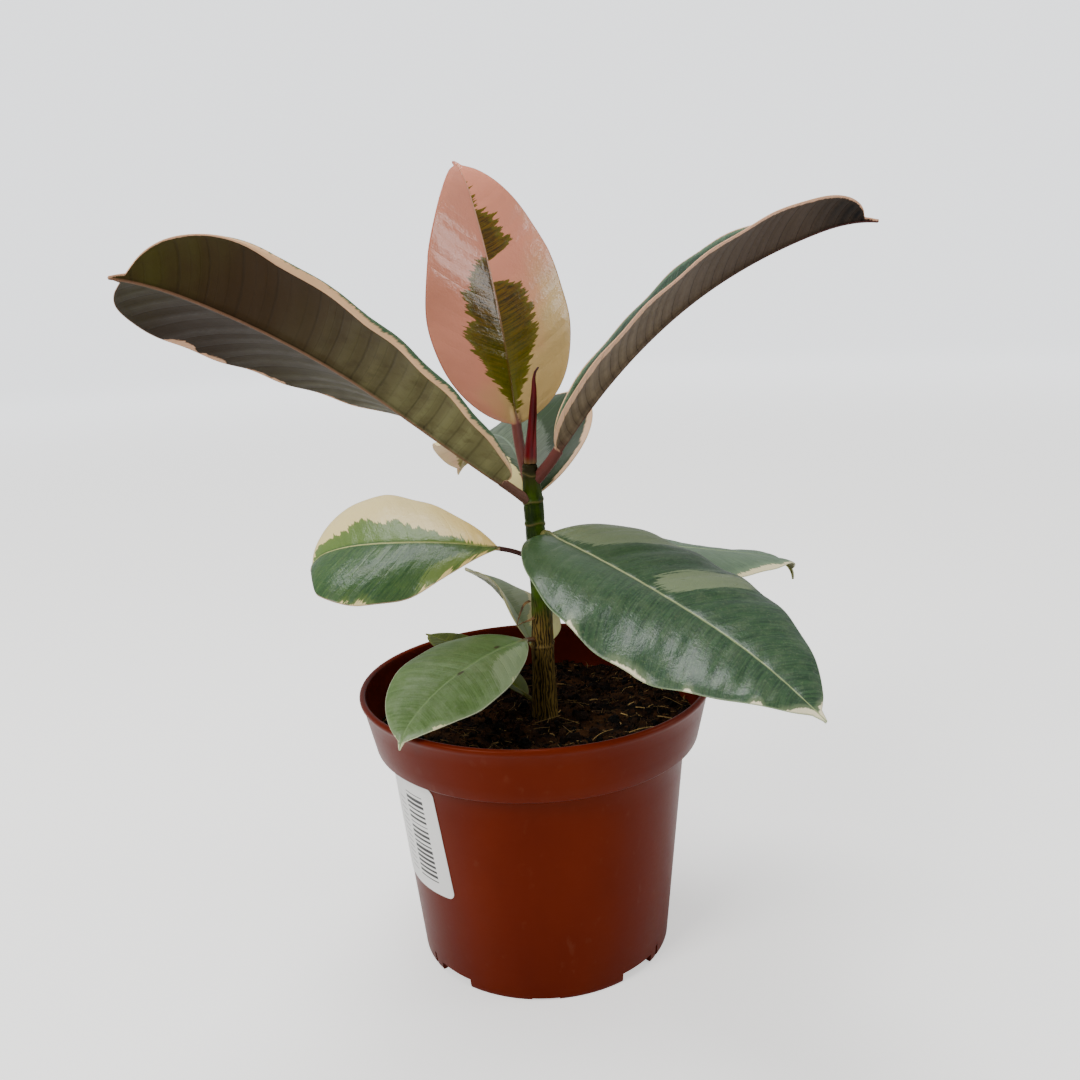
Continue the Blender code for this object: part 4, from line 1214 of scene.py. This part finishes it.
def block(size, place, heading):
    """A hidden box that cuts the pot."""
    bm = bmesh.new()
    bmesh.ops.create_cube(bm, size=1.0)
    where = Matrix.Translation(Vector(place) * MM + AXIS) @ Matrix.Rotation(math.radians(heading), 4, "Z")
    bm.transform(where @ Matrix.Diagonal((*(Vector(size) * MM), 1.0)))
    mesh = bpy.data.meshes.new("cutter")
    bm.to_mesh(mesh)
    bm.free()
    return placed("cutter", mesh)


def pot_cutters():
    """Gaps in the foot ring, drain holes, water slots and notches."""
    gap_w = 2 * BASE_R * math.sin(math.radians(FOOT_GAP_ANGLE / 2))
    cutters = []
    for centre in FOOT_GAP_CENTRES:
        way = direction(centre, 0)
        drain = way * DRAIN_R + np.array([0, 0, FLOOR_UNDERSIDE_Z])
        cutters.append(block((8, gap_w, 2 * FOOT_GAP_H), way * (BASE_R + 0.6), centre))
        cutters.append(block((DRAIN_SIZE, DRAIN_SIZE, 8), drain, centre))
    for angles, wide, high in (
            (WATER_SLOT_ANGLES, WATER_SLOT_W, WATER_SLOT_H), (NOTCH_ANGLES, NOTCH_W, NOTCH_H)):
        cutters += [block((6, wide, 2 * high), direction(angle, 0) * BASE_R, angle) for angle in angles]
    return cutters


def make_pot(settings):
    """Turns the pot's section and cuts its foot."""
    profile = bpy.data.meshes.new("pot_profile")
    profile.from_pydata([(r * MM, 0.0, z * MM) for r, z in pot_section()], [], [])
    material = pot_material(settings)
    raw = grown("pot_raw", profile, lathe_tree(), {"Steps": settings.steps, "Material": material})
    raw.transform(Matrix.Translation(AXIS))
    whole = placed("pot_whole", outward(raw))
    cutters = pot_cutters()
    for other in cutters:
        cut = whole.modifiers.new("cut", "BOOLEAN")
        cut.operation = "DIFFERENCE"
        cut.solver = "EXACT"
        cut.object = other
    mesh = taken("pot_shell", whole)
    for other in cutters:
        bpy.data.objects.remove(other)
    mesh.shade_smooth()
    mesh.set_sharp_from_angle(angle=math.radians(POT_CREASE))
    settled("pot_shell", mesh, "pot", material)


def on_body(x, y, lift):
    """A point of the label's flat sheet, wrapped on the pot's cone."""
    lean = math.atan2(BODY_TOP_R - BASE_R, COLLAR_BOTTOM_Z)
    apex = body_radius(LABEL_MIDDLE_Z) / math.sin(lean)
    tilt = math.radians(LABEL_TILT)
    flat_x = x * math.cos(tilt) - y * math.sin(tilt)
    flat_y = x * math.sin(tilt) + y * math.cos(tilt) + apex
    radius = math.hypot(flat_x, flat_y) * math.sin(lean)
    turn = math.radians(LABEL_MIDDLE_AZ) + math.atan2(flat_x, flat_y) / math.sin(lean)
    z = (radius - BASE_R) * COLLAR_BOTTOM_Z / (BODY_TOP_R - BASE_R)
    return (radius + lift) * math.cos(turn), (radius + lift) * math.sin(turn), z


def make_label(settings):
    """Paper sticker: a fine grid with round corners, laid on the pot's side."""
    half_w, half_h = LABEL_W / 2, LABEL_H / 2
    corner = [LABEL_CORNER * (1 - math.cos(math.radians(a))) for a in range(0, 90, 9)]
    inner = list(np.linspace(-half_w + LABEL_CORNER, half_w - LABEL_CORNER, LABEL_COLUMNS))
    columns = [-half_w + c for c in corner] + inner + [half_w - c for c in corner[::-1]]
    columns = [x for x in columns if abs(x) < half_w - 0.001]
    skin = Skin()
    for x in columns:
        into = max(0.0, abs(x) - (half_w - LABEL_CORNER))
        reach = half_h - LABEL_CORNER + math.sqrt(max(LABEL_CORNER ** 2 - into ** 2, 0.0))
        ys = np.linspace(-reach, reach, LABEL_ROWS)
        over = [on_body(x, y, LABEL_LIFT + LABEL_THICK) for y in ys]
        under = [on_body(x, y, LABEL_LIFT) for y in ys[::-1]]
        skin.add(over + under, sheet=np.array([(x, y, 0.0) for y in ys] + [(x, y, 1.0) for y in ys[::-1]]))
    ends = [on_body(x, 0, LABEL_LIFT + LABEL_THICK / 2) for x in (columns[0] - 0.05, columns[-1] + 0.05)]
    mesh = skin.mesh("label_sheet", *ends)
    mesh.set_sharp_from_angle(angle=math.radians(LABEL_CREASE))
    settled("label_sheet", mesh, "label", label_material(settings))


# Soil

def soil_height(x, y):
    """Lumpy top of the soil at a place."""
    broad = noise_at(x * 0.16, y * 0.16, 0.0) * 1.44 - 0.018 * math.hypot(x, y)
    middle = noise_at(x * 0.55, y * 0.55, 3.0) * 0.7
    fine = noise_at(x * 1.6, y * 1.6, 8.0) * 0.35
    return SOIL_Z + broad + middle + fine


def bed_mesh():
    """The soil's body, from the pot's floor to its lumpy top."""
    floor = FLOOR_TOP_Z + 0.3
    top_r = COLLAR_BOTTOM_R - WALL + (SOIL_Z - COLLAR_BOTTOM_Z) * 0.2 - 0.35
    angles = around(SOIL_STEPS)
    skin = Skin()
    wall = [(body_radius(floor) - WALL - 2.0, floor), (body_radius(floor + 2) - WALL - 0.5, floor + 2),
            (BODY_TOP_R - WALL - 0.6, COLLAR_BOTTOM_Z - 0.2), (BODY_TOP_R - 0.9, COLLAR_BOTTOM_Z + 1.4),
            (COLLAR_BOTTOM_R - WALL - 1.2, COLLAR_BOTTOM_Z + 2.0),
            (COLLAR_BOTTOM_R - WALL - 0.4, COLLAR_BOTTOM_Z + 3.0)]
    for r, z in wall:
        skin.add([(r * math.cos(a), r * math.sin(a), z) for a in angles])
    for r in np.linspace(top_r, 0.6, SOIL_RINGS):
        ring = [(r * math.cos(a), r * math.sin(a)) for a in angles]
        skin.add([(x, y, soil_height(x, y) - 0.8 * (r > top_r - 0.1)) for x, y in ring])
    return skin.mesh("soil_bed", (0, 0, floor), (0, 0, soil_height(0, 0)))


def make_soil(settings):
    """Soil body, then crumbs and fibres scattered over it."""
    bed = settled("soil_bed", bed_mesh(), "soil", soil_material(settings))
    earth = crumb_material("soil_crumb_skin", settings.deep, settings.light, 0.8, 500.0, 3.0)
    straw = crumb_material("soil_straw_skin", "241204", "c8a468", 0.65, 700.0, 2.4)
    crumbs, fibres = crumb_tree(), fibre_tree()
    wood_density = settings.fibre_density * WOOD_SHARE
    for name, tree, material, density, seed, smallest, largest, own in (
            ("soil_crumbs", crumbs, earth, settings.crumb_density, 11, 0.4, 1.9, {"Detail": 1}),
            ("soil_clods", crumbs, earth, settings.clod_density, 31, 1.6, 4.4, {"Detail": 3}),
            ("soil_fibres", fibres, straw, settings.fibre_density, 51, 3.0, 13.0, {"Width": 0.11 * MM}),
            ("soil_wood_bits", fibres, straw, wood_density, 71, 0.8, 3.6, {"Width": 0.26 * MM})):
        sizes = {"Density": density, "Seed": seed, "Smallest": smallest * MM, "Largest": largest * MM}
        made = grown(name, bed.data.copy(), tree, {**sizes, **own, "Material": material})
        keep_inside(made)
        outward(made).shade_flat()
        settled(name, made, None, material)


def keep_inside(mesh):
    """Moves scattered bits inside the pot's wall."""
    points = np.empty(len(mesh.vertices) * 3, np.float32)
    mesh.vertices.foreach_get("co", points)
    points = points.reshape(-1, 3)
    flat = points[:, :2] - np.array(AXIS)[:2]
    reach = np.hypot(flat[:, 0], flat[:, 1])
    above = np.clip(points[:, 2] - COLLAR_BOTTOM_Z * MM - 0.003, 0, 0.016)
    limit = (COLLAR_BOTTOM_R - WALL - 0.3) * MM + above * 0.2
    keep = np.minimum(1.0, limit / np.maximum(reach, 1e-6))
    points[:, :2] = flat * keep[:, None] + np.array(AXIS)[:2]
    mesh.vertices.foreach_set("co", points.ravel())


# Stem and bud

def smooth_stem(height):
    """Centre offset and radius of the stem, with rounded turns."""
    spread = np.array([-2.4, -1.2, 0, 1.2, 2.4])
    xs, rs = zip(*(stem_at(height + d) for d in spread))
    return float(np.mean(xs)), float(np.mean(rs))


def ring_scars(z, a):
    """How far the ring scars stand out at a place of the stem, and how pale they are."""
    swell = scar = 0.0
    for level, size in RING_SCARS:
        off = abs(z - (level + 0.5 * math.cos(a - level) + 0.25 * math.sin(3 * a + level)))
        swell += size * math.exp(-(off / 0.55) ** 2) - 0.5 * size * math.exp(-((off - 1.1) / 0.4) ** 2)
        scar = max(scar, math.exp(-(off / 0.3) ** 2) * min(1.0, size / 0.22))
    return swell, scar


def make_stem(settings):
    """Stem with ring scars and rough bark, its dry strands and its bud sheath."""
    angles = around(settings.steps)
    buried = np.linspace(STEM_FOOT_Z, BURIED_TOP_Z, 8)
    bark = np.arange(BURIED_TOP_Z + 1, STEM_TOP_Z - 0.6, RING_STEP)
    heights = np.concatenate([buried, bark, STEM_TOP_Z - np.array([0.4, 0.15, 0.0])])
    cork_top = settings.cork_top / MM
    skin = Skin()
    for z in heights:
        x0, r = smooth_stem(z)
        tuck = max(0.0, z - STEM_TOP_Z + 0.8) ** 2 * 0.9
        ring, mark = [], []
        for a in angles:
            swell, scar = ring_scars(z, a)
            rough = noise_at(math.cos(a) * 2.2, math.sin(a) * 2.2, z * 0.09) * 0.16
            rough += noise_at(math.cos(a) * 6.5, math.sin(a) * 6.5, z * 0.22) * 0.09 * (z < cork_top)
            radius = r + swell + rough - tuck
            ring.append((x0 + radius * math.cos(a), radius * math.sin(a), z))
            mark.append((scar, 0.0, 0.0))
        skin.add(ring, mark=np.array(mark))
    foot, top = stem_at(STEM_FOOT_Z)[0], smooth_stem(STEM_TOP_Z)[0]
    mesh = skin.mesh("stem_bark", (foot, 0, STEM_FOOT_Z), (top, 0, STEM_TOP_Z + 0.05))
    settled("stem_bark", mesh, "stem", stem_material(settings))
    dry = strand_material()
    for name, route in STIPULE_STRANDS.items():
        settled(name, strand_mesh(name, route), None, dry)
    settled("bud_sheath_roll", sheath_mesh(), "bud_sheath", sheath_material(settings))


def smooth_route(values, count):
    """A smooth curve through rows of numbers, at even steps."""
    values = np.array(values, float)
    return np.stack([along(values[:, k], np.linspace(0, 1, count)) for k in range(values.shape[1])], -1)


def way_at(path, i):
    """Direction of a path at one of its points."""
    return unit(path[min(i + 1, len(path) - 1)] - path[max(i - 1, 0)])


def strand_mesh(name, route):
    """A flat, twisted strip of dry sheath that peels off the stem."""
    path = smooth_route(route, STRAND_RINGS)
    skin = Skin()
    for i, place in enumerate(path):
        t = i / (len(path) - 1)
        way = way_at(path, i)
        level = unit(np.cross(way, (0, 0, 1.0)))
        above = np.cross(level, way)
        twist = 0.4 + 2.2 * t
        side = level * math.cos(twist) + above * math.sin(twist)
        above = above * math.cos(twist) - level * math.sin(twist)
        width = 0.42 * (1 - 0.7 * t) + 0.08
        ring = []
        for a in around(STRAND_STEPS):
            thick = 0.13 * math.sin(a) + 0.25 * width * math.cos(a) ** 2
            ring.append(place + side * width * math.cos(a) + above * thick)
        skin.add(ring)
    return skin.mesh(name, path[0], path[-1])


def sheath_mesh():
    """Rolled bud sheath with a lengthwise seam and a hooked tip."""
    dz, dx, r = np.array(SHEATH_POINTS).T
    stations = np.linspace(0, dz[-1], SHEATH_STATIONS)
    even = np.stack([stations, np.interp(stations, dz, dx), np.interp(stations, dz, r)], -1)
    path = smooth_route(even, SHEATH_RINGS)
    centres = np.array([np.array(SHEATH_BASE) + (dx, -0.15 * dx, dz) for dz, dx, _ in path])
    skin = Skin()
    for i, (dz, dx, r) in enumerate(path):
        t = dz / SHEATH_POINTS[-1][0]
        way = way_at(centres, i)
        side = unit(np.cross((0, 1.0, 0), way))
        back = np.cross(way, side)
        seam = -0.9 + 1.1 * t
        ring, mark = [], []
        for a in around(SHEATH_STEPS):
            off = (a - seam + math.pi) % (2 * math.pi) - math.pi
            fold = 0.16 * math.exp(-(off / 0.16) ** 2) - 0.1 * math.exp(-((off + 0.38) / 0.2) ** 2)
            radius = r * (1 + fold + 0.03 * math.sin(3 * a + 4 * t))
            ring.append(centres[i] + side * radius * math.cos(a) + back * radius * math.sin(a))
            mark.append((t, math.exp(-(off / 0.3) ** 2) * (1 - 0.6 * t), 0.0))
        skin.add(ring, mark=np.array(mark))
    return skin.mesh("bud_sheath_roll", centres[0], centres[-1] + (0.3, 0, 0.1))


# Stage

def make_camera():
    """Camera at the photograph's place and angle."""
    data = bpy.data.cameras.new("photo_camera")
    data.lens = LENS_MM
    data.sensor_width = SENSOR_MM
    data.clip_start = 0.01
    data.clip_end = 20.0
    camera = placed("photo_camera", data)
    yaw, pitch, roll = CAMERA_YAW, CAMERA_PITCH, CAMERA_ROLL
    forward = Vector((math.sin(yaw) * math.cos(pitch), math.cos(yaw) * math.cos(pitch), -math.sin(pitch)))
    right = Vector((math.cos(yaw), -math.sin(yaw), 0.0))
    up = right.cross(forward)
    across = right * math.cos(roll) + up * math.sin(roll)
    upward = up * math.cos(roll) - right * math.sin(roll)
    turned = Matrix((across, upward, -forward)).transposed().to_4x4()
    camera.matrix_world = Matrix.Translation(AXIS + Vector(CAMERA_PLACE)) @ turned
    bpy.context.scene.camera = camera


def make_floor(settings):
    """A wide plain floor that fades into the backdrop."""
    bm = bmesh.new()
    bmesh.ops.create_grid(bm, x_segments=2, y_segments=2, size=FLOOR_SIZE)
    mesh = bpy.data.meshes.new("floor")
    bm.to_mesh(mesh)
    bm.free()
    floor = placed("floor", mesh)
    material, make, shader = surface("floor_skin")
    tone = make.mix(make.noise(6.0, 3.0) * 0.12, settings.floor, tuple(c * 0.9 for c in settings.floor))
    x, y, _ = make.split(make.object_place())
    reach = make.math("SQRT", x * x + y * y)
    far = reach.ramp(*FLOOR_FADE)
    seen = make.run("ShaderNodeLightPath")["Is Camera Ray"]
    make.join(make.mix(reach.ramp(*FLOOR_DARK), tone, (0.0, 0.0, 0.0)), shader["Base Color"])
    make.join(make.mix(far, tone, WALL_TINT), shader["Emission Color"])
    make.join(seen * make.mix(far, settings.glow, settings.wall, "FLOAT"), shader["Emission Strength"])
    shader["Specular IOR Level"].default_value = 0.0
    shader["Roughness"].default_value = 0.75
    mesh.materials.append(material)


def area_light(name, place, size, power, tint):
    """A square soft light that faces the plant."""
    data = bpy.data.lights.new(name, "AREA")
    data.shape = "SQUARE"
    data.size = size
    data.energy = power
    data.color = tint
    light = placed(name, data)
    light.location = Vector(place)
    light.rotation_euler = (Vector(LIGHTS_AIM) - light.location).to_track_quat("-Z", "Y").to_euler()


def make_lights(settings):
    """Three soft lights and an even room."""
    area_light("window_light", (-0.9, -0.9, 1.1), 0.6, settings.key, (1.0, 0.99, 0.97))
    area_light("room_light", (1.2, -0.1, 0.7), 0.4, settings.fill, (1.0, 0.98, 0.96))
    area_light("ceiling_light", (-0.2, 0.2, 1.35), 0.6, settings.key * 0.75, (0.98, 0.99, 1.0))
    world = bpy.data.worlds.new("plain_room")
    world.use_nodes = True
    background = world.node_tree.nodes["Background"].inputs
    make = Maker(world.node_tree)
    make.join(WALL_TINT, background["Color"])
    seen = make.run("ShaderNodeLightPath")["Is Camera Ray"]
    make.join(make.mix(seen, settings.sky, settings.wall, "FLOAT"), background["Strength"])
    bpy.context.scene.world = world


# Sizes and colours

def colour(code, name, description):
    """A colour setting, its default given as sRGB."""
    return bpy.props.FloatVectorProperty(
        name=name, description=description, subtype="COLOR", size=3, min=0.0, max=1.0, default=linear(code))


def share(value, name, description):
    """A setting from 0 to 1."""
    return bpy.props.FloatProperty(
        name=name, description=description, subtype="FACTOR", min=0.0, max=1.0, default=value)


def number(value, name, description, unit="NONE"):
    """A setting that is 0 or more."""
    return bpy.props.FloatProperty(name=name, description=description, default=value, min=0.0, unit=unit)


class LeafSettings(bpy.types.PropertyGroup):
    vein_strength: share(0.5, "Vein Relief", "How strongly the side veins show in relief")
    top_roughness: share(0.28, "Top Roughness", "Roughness of the upper face")
    under_roughness: share(0.5, "Underside Roughness", "Roughness of the underside")
    translucency: share(0.06, "Translucency", "Light spread inside the blade")


class StemSettings(bpy.types.PropertyGroup):
    steps: bpy.props.IntProperty(name="Steps", description="Faces round the stem", default=56, min=12)
    cork_top: number(0.118, "Cork Top", "Height at which corky bark turns green", "LENGTH")
    sheath_dark: colour("440006", "Sheath Shade", "Darker red of the bud sheath")
    sheath_light: colour("6c020c", "Sheath Light", "Lighter red of the bud sheath")


class SoilSettings(bpy.types.PropertyGroup):
    deep: colour("040201", "Dark Earth", "Darkest colour of the soil")
    light: colour("402610", "Light Earth", "Lightest colour of the soil")
    crumb_density: number(420000.0, "Crumbs", "Crumbs per square metre")
    clod_density: number(30000.0, "Clods", "Clods per square metre")
    fibre_density: number(48000.0, "Fibres", "Fibres per square metre")


class PotSettings(bpy.types.PropertyGroup):
    steps: bpy.props.IntProperty(name="Steps", description="Faces round the pot", default=192, min=24)
    deep: colour("4c0e00", "Deep Terracotta", "Deeper colour of the pot")
    light: colour("621a00", "Light Terracotta", "Lighter colour of the pot")
    roughness: share(0.34, "Roughness", "Roughness of the moulded plastic")


class LabelSettings(bpy.types.PropertyGroup):
    paper: colour("e6e5e2", "Paper", "Colour of the sticker")
    ink: colour("0c0b0c", "Ink", "Colour of the bars")
    bars_from: number(0.008, "Bars From", "Left side of the column of bars", "LENGTH")
    bars_to: number(0.0185, "Bars To", "Right side of the column of bars", "LENGTH")


class StageSettings(bpy.types.PropertyGroup):
    floor: colour("ecebe9", "Floor", "Colour of the plain floor")
    key: number(18.0, "Key Light", "Power of the soft key light", "POWER")
    fill: number(4.0, "Fill Light", "Power of the soft fill light", "POWER")
    sky: number(0.55, "Sky", "Strength of the even light all round")
    wall: number(2.0, "Backdrop", "Brightness of the plain backdrop")
    glow: number(0.9, "Floor Glow", "Brightness added to the floor")


class PlantSettings(bpy.types.PropertyGroup):
    leaves: bpy.props.PointerProperty(type=LeafSettings)
    stem: bpy.props.PointerProperty(type=StemSettings)
    soil: bpy.props.PointerProperty(type=SoilSettings)
    pot: bpy.props.PointerProperty(type=PotSettings)
    label: bpy.props.PointerProperty(type=LabelSettings)
    stage: bpy.props.PointerProperty(type=StageSettings)


# Operators

class RUBBERPLANT_OT_stage(bpy.types.Operator):
    """Sets the camera, the plain floor and the soft lights"""
    bl_idname = "rubber_plant.stage"
    bl_label = "Stage"

    def execute(self, context):
        settings = context.scene.rubber_plant.stage
        make_camera()
        make_floor(settings)
        make_lights(settings)
        return {"FINISHED"}


class RUBBERPLANT_OT_pot(bpy.types.Operator):
    """Makes the plastic pot"""
    bl_idname = "rubber_plant.pot"
    bl_label = "Pot"

    def execute(self, context):
        make_pot(context.scene.rubber_plant.pot)
        return {"FINISHED"}


class RUBBERPLANT_OT_label(bpy.types.Operator):
    """Makes the plain sticker on the pot"""
    bl_idname = "rubber_plant.label"
    bl_label = "Label"

    def execute(self, context):
        make_label(context.scene.rubber_plant.label)
        return {"FINISHED"}


class RUBBERPLANT_OT_soil(bpy.types.Operator):
    """Makes the soil with its crumbs and fibres"""
    bl_idname = "rubber_plant.soil"
    bl_label = "Soil"

    def execute(self, context):
        make_soil(context.scene.rubber_plant.soil)
        return {"FINISHED"}


class RUBBERPLANT_OT_stem(bpy.types.Operator):
    """Makes the stem, its dry strands and the bud sheath"""
    bl_idname = "rubber_plant.stem"
    bl_label = "Stem"

    def execute(self, context):
        make_stem(context.scene.rubber_plant.stem)
        return {"FINISHED"}


class RUBBERPLANT_OT_leaves(bpy.types.Operator):
    """Makes every leaf with its own pattern"""
    bl_idname = "rubber_plant.leaves"
    bl_label = "Leaves"

    def execute(self, context):
        green_group, vein_group = feathered_green(), side_veins()
        for name in LEAVES:
            mesh = leaf_mesh(name)
            material = leaf_material(name, green_group, vein_group, context.scene.rubber_plant.leaves)
            settled(mesh.name, mesh, name, material)
        return {"FINISHED"}


class RUBBERPLANT_PT_panel(bpy.types.Panel):
    """Lists the steps that build the plant"""
    bl_label = "Rubber Plant"
    bl_idname = "RUBBERPLANT_PT_panel"
    bl_space_type = "VIEW_3D"
    bl_region_type = "UI"
    bl_category = "Rubber Plant"

    def draw(self, context):
        settings = context.scene.rubber_plant
        for step in STEPS:
            box = self.layout.box()
            box.operator(step.bl_idname)
            group = getattr(settings, step.bl_idname.split(".")[1])
            for key in group.__annotations__:
                box.prop(group, key)


STEPS = (
    RUBBERPLANT_OT_stage, RUBBERPLANT_OT_pot, RUBBERPLANT_OT_label,
    RUBBERPLANT_OT_soil, RUBBERPLANT_OT_stem, RUBBERPLANT_OT_leaves,
)
CLASSES = (
    LeafSettings, StemSettings, SoilSettings, PotSettings, LabelSettings, StageSettings,
    PlantSettings, *STEPS, RUBBERPLANT_PT_panel,
)


def register():
    for cls in CLASSES:
        bpy.utils.register_class(cls)
    bpy.types.Scene.rubber_plant = bpy.props.PointerProperty(type=PlantSettings)


def unregister():
    del bpy.types.Scene.rubber_plant
    for cls in reversed(CLASSES):
        bpy.utils.unregister_class(cls)


def main():
    register()
    for step in STEPS:
        getattr(bpy.ops.rubber_plant, step.bl_idname.split(".")[1])()


if __name__ == "__main__":
    main()
